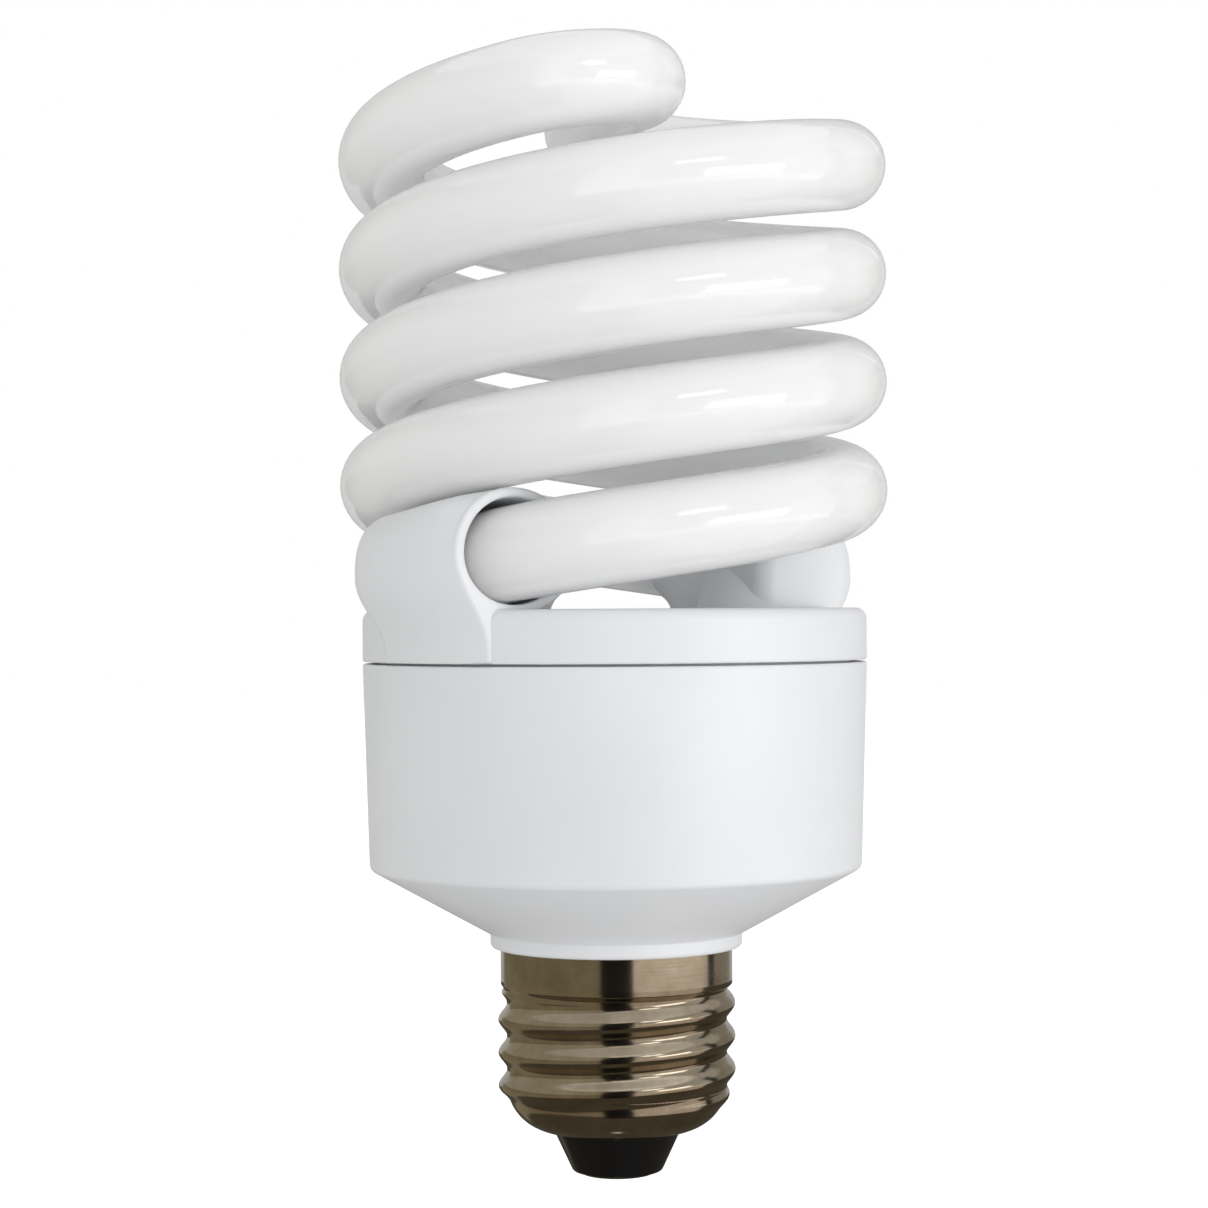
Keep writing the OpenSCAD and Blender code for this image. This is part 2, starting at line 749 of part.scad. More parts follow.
// Filter inductor stands behind the resonant capacitor
drum_x = drum_d / 2 + part_gap;
drum_y = max(resonant_w, can_d) / 2 + part_gap + drum_d / 2;
drum_flange_share = 0.15;
drum_post_share = 0.45;
module filter_inductor_core() {
    flange = drum_h * drum_flange_share;
    color(ferrite)
        translate([drum_x, drum_y, board_z - drum_h])
            rotate_extrude()
                polygon([
                    [0, 0],
                    [drum_d / 2, 0],
                    [drum_d / 2, flange],
                    [drum_d / 2 * drum_post_share, flange],
                    [drum_d / 2 * drum_post_share, drum_h - flange],
                    [drum_d / 2, drum_h - flange],
                    [drum_d / 2, drum_h],
                    [0, drum_h]
                ]);
}

module filter_inductor_winding() {
    flange = drum_h * drum_flange_share;
    post_r = drum_d / 2 * drum_post_share;
    color(copper)
        translate([drum_x, drum_y, board_z - drum_h + flange + bobbin_gap])
            difference() {
                cylinder(r = drum_d / 2 - winding_inset, h = drum_h - 2 * flange - 2 * bobbin_gap);
                translate([0, 0, -cut])
                    cylinder(r = post_r + bobbin_gap, h = drum_h);
            }
}

// Small parts with two bent leads, lying under the board
bend_len_out = 2 * leg_d;
axial_reach = bend_len_out + leg_d;
module axial_part(d, len) {
    drop = d / 2 + leg_d;
    translate([0, 0, -drop]) {
        rotate([0, quarter_turn, 0])
            cylinder(d = d, h = len, center = true, $fn = small_sides);
        for (s = [-1, 1]) {
            translate([s * (len + bend_len_out) / 2, 0, 0])
                rotate([0, quarter_turn, 0])
                    cylinder(d = leg_d, h = bend_len_out, center = true, $fn = leg_sides);
            translate([s * (len / 2 + bend_len_out), 0, -leg_d / 2])
                cylinder(d = leg_d, h = drop + leg_d / 2, $fn = leg_sides);
        }
    }
}

diode_d = 2.7;
diode_len = 5.2;
diode_count = 4;
diode_x = drum_x - drum_d / 2 - part_gap - diode_d / 2;
diode_y = max(choke_w, can_d) / 2 + part_gap + diode_len / 2 + axial_reach;
module rectifier_diodes() {
    color(epoxy_black)
        for (i = [0:diode_count - 1])
            translate([diode_x - i * (diode_d + part_gap), diode_y, board_z])
                rotate([0, 0, quarter_turn])
                    axial_part(diode_d, diode_len);
}

small_d = 2;
small_len = 4;
small_x = drum_x + drum_d / 2 + part_gap + small_len / 2 + axial_reach;
small_step = small_d + part_gap;
trigger_count = 2;
resistor_count = 3;
module trigger_diodes() {
    color(epoxy_black)
        for (i = [0:trigger_count - 1])
            translate([small_x, resonant_w / 2 + part_gap + small_d / 2 + i * small_step, board_z])
                axial_part(small_d, small_len);
}

module small_resistors() {
    color(resistor_tan)
        for (i = [0:resistor_count - 1])
            translate([transistor_w + part_gap * 2 + small_len / 2 + axial_reach,
                -(resonant_w / 2 + part_gap + small_d / 2 + i * small_step), board_z])
                axial_part(small_d, small_len);
}

fuse_d = 3.5;
fuse_len = 9;
module fusible_resistor() {
    color(film_green)
        translate([-(transistor_w + part_gap * 2 + fuse_len / 2 + axial_reach),
            -(choke_w / 2 + part_gap + fuse_d / 2), board_z])
            axial_part(fuse_d, fuse_len);
}

start_t = 3;
start_w = 7;
start_h = 6;
module start_capacitor() {
    color(film_green)
        translate([small_x, resonant_w / 2 + part_gap + trigger_count * small_step + start_t / 2,
            board_z])
            rotate([0, 0, quarter_turn])
                film_capacitor(start_t, start_w, start_h);
}

thermistor_d = 6;
thermistor_t = 2.5;
module thermistor() {
    color(epoxy_black)
        translate([drum_x, drum_y + drum_d / 2 + part_gap + thermistor_t / 2, board_z]) {
            translate([0, 0, -film_leg_h - thermistor_d / 2])
                rotate([quarter_turn, 0, 0])
                    cylinder(d = thermistor_d, h = thermistor_t, center = true, $fn = small_sides);
            for (s = [-1, 1])
                translate([s * thermistor_d / 4, 0, -film_leg_h - thermistor_d / 4])
                    cylinder(d = leg_d, h = film_leg_h + thermistor_d / 4, $fn = leg_sides);
        }
}

// Pins on top of the board, with the wires of the tube's electrodes
pin_w = 0.8;
pin_h = 4.5;
pin_r_share = 0.6;
pin_spread = 14;
pin_turn = 20;
pin_count = 4;
wire_sides = 6;
foot_end_angle = atan2(foot_end.y, foot_end.x);
function pin_angle(i) = foot_end_angle - pin_turn + (i % 2 * 2 - 1) * pin_spread
    + half_turn * floor(i / 2);
module wrap_pins() {
    color(tin)
        for (i = [0:pin_count - 1])
            translate(board_r * pin_r_share * around(pin_angle(i)) + [0, 0, board_top_z])
                translate([-pin_w / 2, -pin_w / 2, 0])
                    cube([pin_w, pin_w, pin_h]);
}

lead_wire_d = 0.5;
electrode_share = 0.4;
module tube_lead_wires() {
    color(tin)
        for (i = [0:pin_count - 1]) {
            a = pin_angle(i);
            s = i % 2 * 2 - 1;
            far = i >= pin_count / 2;
            foot = far ? turned(foot_end) : foot_end;
            exit = far ? turned(foot_exit) : foot_exit;
            side = unit(cross([0, 0, 1], exit));
            pin_top = board_r * pin_r_share * around(a)
                + [0, 0, board_top_z + pin_h + lead_wire_d / 2];
            start = foot + s * electrode_share * tube_d / 2 * side + fit * exit;
            wire([start, start + 2 * lead_wire_d * exit, pin_top], lead_wire_d, wire_sides, side);
        }
}

// Leads from the board to the cap, down the gap between the capacitor and the neck
cable_d = 1.1;
cable_r = (can_d / 2 + neck_bore_r) / 2;
can_foot_z = board_z - can_h;
live_drop = 3.6;
neutral_drop = 1.1;
live_angle = 135;
neutral_angle = 225;
cable_sides = 8;
module live_lead() {
    down = cable_r * around(live_angle);
    color(wire_red)
        wire([
            down + [0, 0, board_z],
            down + [0, 0, can_foot_z],
            down / 2 + [0, 0, can_foot_z - live_drop],
            [0, 0, can_foot_z - 2 * live_drop],
            [0, 0, contact_t]
        ], cable_d, cable_sides, around(live_angle + quarter_turn));
}

module neutral_lead() {
    down = cable_r * around(neutral_angle);
    neck_foot_z = shell_top_z - neck_len;
    out = (root_r - shell_wall - cable_d / 2) * around(neutral_angle);
    color(wire_white)
        wire([
            down + [0, 0, board_z],
            down + [0, 0, neck_foot_z],
            (down + out) / 2 + [0, 0, neck_foot_z - neutral_drop],
            out + [0, 0, neck_foot_z - 2 * neutral_drop]
        ], cable_d, cable_sides, around(neutral_angle + quarter_turn));
}

spiral_tube();
upper_cover();
lower_housing();
screw_shell();
cap_insulator();
centre_contact();
circuit_board();
electrolytic_capacitor();
choke_core();
choke_bobbin();
choke_winding();
ring_transformer_core();
ring_transformer_windings();
switching_transistors();
resonant_capacitor();
filter_capacitor();
start_capacitor();
filter_inductor_core();
filter_inductor_winding();
rectifier_diodes();
trigger_diodes();
fusible_resistor();
small_resistors();
thermistor();
wrap_pins();
tube_lead_wires();
live_lead();
neutral_lead();
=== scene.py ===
"""Spiral energy saving lamp with a screw cap: its detailed pieces, finishes, light and camera."""

import json
import logging
import math
from dataclasses import dataclass
from enum import Enum, IntEnum
from typing import Sequence

import bmesh
import bpy
import numpy as np
from mathutils import Matrix, Vector


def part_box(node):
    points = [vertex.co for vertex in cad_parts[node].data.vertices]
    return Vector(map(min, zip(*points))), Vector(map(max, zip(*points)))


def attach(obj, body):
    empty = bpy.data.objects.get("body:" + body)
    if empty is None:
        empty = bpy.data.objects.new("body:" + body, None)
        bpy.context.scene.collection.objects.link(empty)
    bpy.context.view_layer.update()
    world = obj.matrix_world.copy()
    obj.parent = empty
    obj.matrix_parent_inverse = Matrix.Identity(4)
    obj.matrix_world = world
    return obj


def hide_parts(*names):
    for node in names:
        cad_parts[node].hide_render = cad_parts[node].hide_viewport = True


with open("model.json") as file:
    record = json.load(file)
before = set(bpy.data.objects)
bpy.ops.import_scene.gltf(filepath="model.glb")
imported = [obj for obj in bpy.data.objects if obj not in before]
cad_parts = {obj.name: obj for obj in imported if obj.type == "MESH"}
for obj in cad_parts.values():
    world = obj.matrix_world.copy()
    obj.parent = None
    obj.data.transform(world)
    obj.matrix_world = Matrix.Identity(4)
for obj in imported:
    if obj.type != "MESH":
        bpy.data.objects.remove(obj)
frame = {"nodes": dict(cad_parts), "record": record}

LOG = logging.getLogger("lamp")
MM = 0.001
BODY = "root"
FULL = 2 * math.pi
# The side that the camera sees, as an angle around the lamp's axis
FRONT = math.radians(270)
# Points that lie closer than this many metres are one point
WELD = 1e-8
# A corner that turns by less than this many radians isn't rounded
STRAIGHT = 1e-3
Colour = tuple[float, float, float, float]


def linear(code: str) -> Colour:
    """Turns an sRGB hex colour to linear light.

    Args:
        code: the colour as "#rrggbb".

    Returns:
        Red, green, blue and an alpha of 1, in linear light.
    """
    parts = [int(code[i : i + 2], 16) / 255 for i in (1, 3, 5)]
    low = [v / 12.92 if v <= 0.04045 else ((v + 0.055) / 1.055) ** 2.4 for v in parts]
    return (low[0], low[1], low[2], 1.0)


def add_node(
    tree: bpy.types.NodeTree,
    kind: str,
    links: dict | None = None,
    values: dict | None = None,
    **settings: object,
) -> bpy.types.Node:
    """Adds a node with its settings, values and links.

    Args:
        tree: the node tree that it goes into.
        kind: the node's type name.
        links: output sockets by the name or number of the input that each feeds.
        values: input values by the input's name or number.
        settings: the node's own properties.

    Returns:
        The new node.
    """
    node = tree.nodes.new(kind)
    for name, value in settings.items():
        setattr(node, name, value)
    for name, value in (values or {}).items():
        node.inputs[name].default_value = value
    for name, socket in (links or {}).items():
        tree.links.new(socket, node.inputs[name])
    return node


class Pattern(Enum):
    """How the fine marks of a surface run, as stretches along X, Y and Z."""

    EVEN = (1, 1, 1)
    DRAWN = (40, 1, 1)
    TURNED = (25, 25, 1)


@dataclass(frozen=True)
class Finish:
    """A surface: what it is made of, and what that gives the eye.

    The tone is a second colour that comes and goes over stretches of cloud_mm. The fine marks are
    grain_mm across, relief_mm high, and vary the roughness by spread.
    """

    name: str
    colour: str
    tone: str
    roughness: float
    grain_mm: float
    relief_mm: float = 0.0
    cloud_mm: float = 6.0
    spread: float = 0.05
    metallic: float = 0.0
    ior: float = 1.5
    specular: float = 0.5
    coat: float = 0.0
    coat_roughness: float = 0.05
    coat_ior: float = 1.5
    scatter: float = 0.0
    scatter_mm: float = 5.0
    edge_mm: float = 0.0
    pattern: Pattern = Pattern.EVEN

    def material(self) -> bpy.types.Material:
        """Builds the finish as a material of its own name.

        Returns:
            The material.
        """
        made = bpy.data.materials.new(self.name)
        made.use_nodes = True
        tree = made.node_tree
        shader = tree.nodes["Principled BSDF"]
        self.set_even_values(shader)
        if self.pattern is Pattern.DRAWN:
            source = add_node(tree, "ShaderNodeAttribute", attribute_name="drawn").outputs["Vector"]
        else:
            source = add_node(tree, "ShaderNodeTexCoord").outputs["Object"]
        stretch = [1 / (self.grain_mm * MM * s) for s in self.pattern.value]
        fine = add_node(
            tree, "ShaderNodeMapping", {"Vector": source}, {"Scale": stretch}, vector_type="POINT"
        )
        grain = add_node(
            tree,
            "ShaderNodeTexNoise",
            {"Vector": fine.outputs["Vector"]},
            {"Scale": 1.0, "Detail": 3.0, "Roughness": 0.55},
        )
        self.cloud_colour(tree, shader, source)
        rough = add_node(
            tree,
            "ShaderNodeMapRange",
            {"Value": grain.outputs["Fac"]},
            {"To Min": self.roughness - self.spread, "To Max": self.roughness + self.spread},
        )
        tree.links.new(rough.outputs["Result"], shader.inputs["Roughness"])
        self.raise_marks(tree, shader, grain)
        return made

    def set_even_values(self, shader: bpy.types.Node) -> None:
        """Sets what is the same all over the surface.

        Args:
            shader: the material's shader.
        """
        shader.inputs["Metallic"].default_value = self.metallic
        shader.inputs["Specular IOR Level"].default_value = self.specular
        shader.inputs["Coat Weight"].default_value = self.coat
        shader.inputs["Coat Roughness"].default_value = self.coat_roughness
        shader.inputs["Coat IOR"].default_value = self.coat_ior
        shader.inputs["Subsurface Weight"].default_value = self.scatter
        shader.inputs["Subsurface Radius"].default_value = (1, 1, 1)
        shader.inputs["Subsurface Scale"].default_value = self.scatter_mm * MM
        if not self.metallic:
            shader.inputs["IOR"].default_value = self.ior

    def cloud_colour(
        self, tree: bpy.types.NodeTree, shader: bpy.types.Node, source: bpy.types.NodeSocket
    ) -> None:
        """Lets the colour drift softly to the tone and back.

        Args:
            tree: the material's nodes.
            shader: its shader.
            source: the coordinates that the surface's marks follow.
        """
        cloud = add_node(
            tree,
            "ShaderNodeTexNoise",
            {"Vector": source},
            {"Scale": 1 / (self.cloud_mm * MM), "Detail": 4.0, "Roughness": 0.6},
        )
        clouded = add_node(
            tree,
            "ShaderNodeMapRange",
            {"Value": cloud.outputs["Fac"]},
            {"From Min": 0.3, "From Max": 0.7},
        )
        mixed = add_node(
            tree,
            "ShaderNodeMix",
            {0: clouded.outputs["Result"]},
            {6: linear(self.colour), 7: linear(self.tone)},
            data_type="RGBA",
        )
        tree.links.new(mixed.outputs[2], shader.inputs["Base Color"])

    def raise_marks(
        self, tree: bpy.types.NodeTree, shader: bpy.types.Node, grain: bpy.types.Node
    ) -> None:
        """Rounds the edges to the eye and raises the fine marks on the surface.

        Args:
            tree: the material's nodes.
            shader: its shader.
            grain: the node that draws the fine marks.
        """
        rounding = None
        if self.edge_mm:
            rounding = add_node(
                tree, "ShaderNodeBevel", values={"Radius": self.edge_mm * MM}, samples=4
            )
            tree.links.new(rounding.outputs["Normal"], shader.inputs["Normal"])
        if self.relief_mm:
            bump = add_node(
                tree,
                "ShaderNodeBump",
                {"Height": grain.outputs["Fac"]},
                {"Strength": 1.0, "Distance": self.relief_mm * MM},
            )
            if rounding:
                tree.links.new(rounding.outputs["Normal"], bump.inputs["Normal"])
            tree.links.new(bump.outputs["Normal"], shader.inputs["Normal"])
            if self.coat:
                tree.links.new(bump.outputs["Normal"], shader.inputs["Coat Normal"])


# Soda-lime glass tube, drawn and coiled hot, with phosphor powder fired on the inside. The powder
# gives a chalk white, and the glass over it gives a sharp gloss with long faint draw lines.
GLASS = Finish(
    "phosphor_coated_glass", "#F8F8F8", "#F2F3F4", 0.55, 0.9, 0.02, 14.0, specular=0.2,
    coat=1.0, coat_roughness=0.04, coat_ior=1.65, scatter=1.0, scatter_mm=14.0,
    pattern=Pattern.DRAWN,
)
# Polybutylene terephthalate, injection moulded in a fine-eroded tool: cool white with a soft sheen
# and edges as round as the tool's cutter left them. The tool's grain is too fine to show, and is
# drawn at 0.35 mm.
PLASTIC = Finish(
    "moulded_pbt", "#E9EAEC", "#E4E6E8", 0.4, 0.35, 0.006, 20.0, ior=1.55, edge_mm=0.3,
)
# Sheet brass, rolled to a thread and plated with nickel: warm grey with fine rings from the
# rolling, drawn at 0.25 mm because the real ones are too fine to show.
NICKEL = Finish(
    "nickel_plated_sheet", "#C0B4A0", "#A89A82", 0.15, 0.25, 0.004, 3.0,
    spread=0.04, metallic=1.0, pattern=Pattern.TURNED,
)
# Black vitrite, a glass pressed hot into the cap: near black with a wet gloss and shallow ripples.
VITRITE = Finish("black_vitrite", "#0B0B0C", "#121214", 0.16, 1.6, 0.03, 4.0, ior=1.52)
# Brass plate, stamped: its colour is a dark, dull brass, darker than bare brass, as painted shade
# for the shadow that the plate sits in under the insulator.
BRASS = Finish(
    "brass_darkened_for_shade", "#8E7F58", "#6E6349", 0.34, 0.3, 0.004, 1.5, metallic=1.0,
)
INNER_FINISHES = {
    # Phenolic paper board, sheared: brown with the paper's mottle.
    "board_paper": Finish("phenolic_paper", "#B8905A", "#A37C48", 0.55, 0.5, 0.01, 2.0),
    # Vinyl sleeve shrunk over an aluminium can: dark blue with a smooth gloss.
    "capacitor_sleeve": Finish("shrunk_vinyl", "#1C2438", "#232C44", 0.28, 0.8, 0.01, 5.0),
    # Ferrite, pressed and sintered: charcoal grey and dry.
    "ferrite": Finish("sintered_ferrite", "#2C2C2E", "#38383A", 0.6, 0.15, 0.012, 1.5),
    # Nylon, moulded: cream and slightly waxy.
    "bobbin_nylon": Finish("moulded_nylon", "#E2D9BC", "#D8CDAC", 0.42, 0.4, 0.006, 4.0),
    # Enamelled copper wire, wound in layers: red brown lines under a clear gloss.
    "copper_wire": Finish(
        "enamelled_copper", "#B4623A", "#8A4424", 0.3, 0.3, 0.06, 1.0,
        metallic=0.8, coat=0.6, pattern=Pattern.TURNED,
    ),
    # Epoxy dip over wound film: brick red with a full gloss.
    "film_dip": Finish("dipped_epoxy", "#9A3A24", "#8A3220", 0.25, 1.2, 0.02, 4.0),
    # Green lacquer, brushed and baked: even colour with a soft gloss.
    "green_lacquer": Finish("baked_lacquer", "#2F6B45", "#27593A", 0.32, 0.5, 0.01, 3.0),
    # Filled epoxy, transfer moulded: black and matt.
    "epoxy_black": Finish("moulded_epoxy", "#18181A", "#202022", 0.55, 0.2, 0.01, 2.0),
    # Resistor lacquer, sprayed: tan with a fine orange peel.
    "resistor_lacquer": Finish("sprayed_lacquer", "#C39A68", "#B68C5A", 0.4, 0.4, 0.01, 2.0),
    # Tinned wire: bright grey with faint draw lines.
    "tinned_wire": Finish("tinned_wire", "#C4C4C2", "#A8A8A6", 0.3, 0.2, 0.004, 1.0, metallic=1.0),
    # Vinyl covering of the leads: red or white with a soft gloss.
    "sleeve_red": Finish("red_vinyl", "#A8201C", "#981C18", 0.38, 0.5, 0.006, 4.0),
    "sleeve_white": Finish("white_vinyl", "#E4E4E0", "#DADAD6", 0.38, 0.5, 0.006, 4.0),
}


def unit(v: np.ndarray) -> np.ndarray:
    """Scales each vector along the last axis to a length of 1."""
    return v / np.linalg.norm(v, axis=-1, keepdims=True)


def smooth_step(x: np.ndarray | float) -> np.ndarray:
    """Rises smoothly from 0 at 0 to 1 at 1."""
    k = np.clip(x, 0, 1)
    return k * k * (3 - 2 * k)


def around(
    angle: np.ndarray | float, radius: np.ndarray | float, z: np.ndarray | float
) -> np.ndarray:
    """Places points at an angle and a radius around the lamp's axis, at a height."""
    angle, radius, z = np.broadcast_arrays(angle, radius, z)
    return np.stack([radius * np.cos(angle), radius * np.sin(angle), z], -1)


def rounded(corners: Sequence[tuple[float, float, float]], step: float = 12.0) -> np.ndarray:
    """Rounds the corners of a closed outline.

    Args:
        corners: (radius from the axis, height, rounding) of each corner in mm, in order.
        step: the turn between two points of a rounding, in degrees.

    Returns:
        The outline's points, one row each.
    """
    points = []
    for i, (x, y, r) in enumerate(corners):
        here = np.array([x, y])
        before = unit(np.array(corners[i - 1][:2]) - here)
        after = unit(np.array(corners[(i + 1) % len(corners)][:2]) - here)
        opening = math.acos(float(np.clip(before @ after, -1, 1)))
        if r <= 0 or math.pi - opening < STRAIGHT:
            points.append(here)
            continue
        centre = here + unit(before + after) * r / math.sin(opening / 2)
        start = here + before * r / math.tan(opening / 2) - centre
        end = here + after * r / math.tan(opening / 2) - centre
        turn = math.atan2(start[0] * end[1] - start[1] * end[0], float(start @ end))
        count = max(2, round(abs(math.degrees(turn)) / step))
        for k in range(count + 1):
            c, s = math.cos(turn * k / count), math.sin(turn * k / count)
            spoke = np.array([start[0] * c - start[1] * s, start[0] * s + start[1] * c])
            points.append(centre + spoke)
    return np.array(points)


def new_piece(
    name: str, points: np.ndarray, faces: Sequence[Sequence[int]], sharp: float = 40.0
) -> bpy.types.Object:
    """Makes a smooth-shaded mesh piece.

    Args:
        name: the piece's name.
        points: its vertices in mm, one row each.
        faces: the vertex numbers of each face.
        sharp: the angle in degrees over which an edge stays sharp.

    Returns:
        The object, linked to the scene.
    """
    mesh = bpy.data.meshes.new(name)
    mesh.from_pydata((points.reshape(-1, 3) * MM).tolist(), [], [list(map(int, f)) for f in faces])
    clean = bmesh.new()
    clean.from_mesh(mesh)
    bmesh.ops.remove_doubles(clean, verts=clean.verts, dist=WELD)
    lone = [edge for edge in clean.edges if not edge.link_faces]
    bmesh.ops.delete(clean, geom=lone, context="EDGES")
    bmesh.ops.recalc_face_normals(clean, faces=clean.faces)
    clean.to_mesh(mesh)
    clean.free()
    mesh.polygons.foreach_set("use_smooth", [True] * len(mesh.polygons))
    mesh.set_sharp_from_angle(angle=math.radians(sharp))
    piece = bpy.data.objects.new(name, mesh)
    bpy.context.scene.collection.objects.link(piece)
    return piece


def grid_faces(rows: int, columns: int, close_rows: bool) -> np.ndarray:
    """Lists the four-sided faces of rings of points, each ring closed.

    Args:
        rows: the number of rings.
        columns: the number of points in a ring.
        close_rows: whether the last ring joins the first.

    Returns:
        One row of four vertex numbers for each face.
    """
    first = np.arange(rows if close_rows else rows - 1)
    i, j = np.meshgrid(first, np.arange(columns), indexing="ij")
    after, beside = (i + 1) % rows, (j + 1) % columns
    corners = [i * columns + j, after * columns + j, after * columns + beside, i * columns + beside]
    return np.stack(corners, -1).reshape(-1, 4)


def turned_piece(name: str, outline: np.ndarray, sides: int = 192) -> bpy.types.Object:
    """Turns a closed outline around the lamp's axis.

    Args:
        name: the piece's name.
        outline: (radius, height) points in mm, in order.
        sides: the number of facets around the axis.

    Returns:
        The piece.
    """
    angle = np.arange(sides) * FULL / sides
    points = around(angle[None, :], outline[:, :1], outline[:, 1:])
    return new_piece(name, points, grid_faces(len(outline), sides, close_rows=True))


# The nodes that detailed pieces stand for
REPLACED = (
    "spiral_tube", "upper_cover", "lower_housing", "screw_shell", "cap_insulator", "centre_contact",
)


class Join(Enum):
    """What a second solid does to the first."""

    ADD = "UNION"
    CUT = "DIFFERENCE"
    KEEP = "INTERSECT"


def join(body: bpy.types.Object, tool: bpy.types.Object, how: Join) -> None:
    """Joins a solid to a body, cuts it out of it or keeps only their common part.

    Args:
        body: the solid that is changed.
        tool: the other solid, which is used up.
        how: what it does.
    """
    change = body.modifiers.new("join", "BOOLEAN")
    change.object, change.operation, change.solver = tool, how.value, "MANIFOLD"
    shape = body.evaluated_get(bpy.context.evaluated_depsgraph_get())
    before, body.data = body.data, bpy.data.meshes.new_from_object(shape)
    body.modifiers.clear()
    bpy.data.meshes.remove(before)
    used = tool.data
    bpy.data.objects.remove(tool)
    bpy.data.meshes.remove(used)


def mark_region(piece: bpy.types.Object, region: IntEnum) -> bpy.types.Object:
    """Gives all of a solid's faces the number of their region, so that it outlasts a join.

    Args:
        piece: the solid.
        region: its region, one of those of the piece that it is joined to.

    Returns:
        The same solid.
    """
    for _ in type(region):
        piece.data.materials.append(None)
    piece.data.polygons.foreach_set("material_index", [int(region)] * len(piece.data.polygons))
    return piece


def sharpen_between_regions(piece: bpy.types.Object, sharp: float = 40.0) -> None:
    """Keeps an edge sharp where two regions meet or where it is steep, and clears the regions.

    Args:
        piece: a solid with numbered regions.
        sharp: the angle in degrees over which an edge inside a region stays sharp.
    """
    mesh = piece.data
    mesh.polygons.foreach_set("use_smooth", [True] * len(mesh.polygons))
    mesh.set_sharp_from_angle(angle=math.radians(sharp))
    faces, sizes = np.empty(len(mesh.polygons), int), np.empty(len(mesh.polygons), int)
    mesh.polygons.foreach_get("material_index", faces)
    mesh.polygons.foreach_get("loop_total", sizes)
    edge_of_corner = np.empty(len(mesh.loops), int)
    mesh.loops.foreach_get("edge_index", edge_of_corner)
    region = np.repeat(faces, sizes)
    low, high = np.full(len(mesh.edges), faces.max()), np.zeros(len(mesh.edges), int)
    np.minimum.at(low, edge_of_corner, region)
    np.maximum.at(high, edge_of_corner, region)
    marks = np.empty(len(mesh.edges), bool)
    mesh.attributes["sharp_edge"].data.foreach_get("value", marks)
    mesh.attributes["sharp_edge"].data.foreach_set("value", marks | (low != high))
    mesh.polygons.foreach_set("material_index", [0] * len(mesh.polygons))
    mesh.materials.clear()


def lofted_piece(name: str, rings: np.ndarray) -> bpy.types.Object:
    """Makes a closed solid through rings of points, with a fan around the middle of each end.

    Args:
        name: the piece's name.
        rings: the rings' points in mm, as rings by points by 3.

    Returns:
        The piece.
    """
    count, n = rings.shape[:2]
    points = np.concatenate([rings.reshape(-1, 3), rings[0].mean(0)[None], rings[-1].mean(0)[None]])
    faces = grid_faces(count, n, close_rows=False).tolist()
    last = (count - 1) * n
    for j in range(n):
        k = (j + 1) % n
        faces += [[last + n, j, k], [last + n + 1, last + k, last + j]]
    return new_piece(name, points, faces)


def finish_piece(piece: bpy.types.Object, finish: Finish, slot: str, *nodes: str) -> None:
    """Dresses a piece and lets it stand for its nodes.

    Args:
        piece: the piece.
        finish: its surface.
        slot: not used.
        nodes: the names of the nodes that it stands for.
    """
    piece.data.materials.append(finish.material())
    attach(piece, BODY)
    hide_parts(*nodes)
    LOG.info("%s: %d faces, %s", piece.name, len(piece.data.polygons), finish.name)


# Height of the cover's flat top over the housing's rim: the groove at the joint line and the band
COVER_H = 5.85


@dataclass(frozen=True)
class Levels:
    """Heights of the lamp's main planes in mm, read from the frame."""

    shell_rim: float
    shell_top: float
    joint: float
    cover_top: float

    @classmethod
    def from_frame(cls) -> "Levels":
        """Reads the heights from the nodes' boxes.

        Returns:
            The heights.
        """
        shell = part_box("screw_shell")
        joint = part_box("lower_housing")[1].z / MM
        return cls(shell[0].z / MM, shell[1].z / MM, joint, joint + COVER_H)


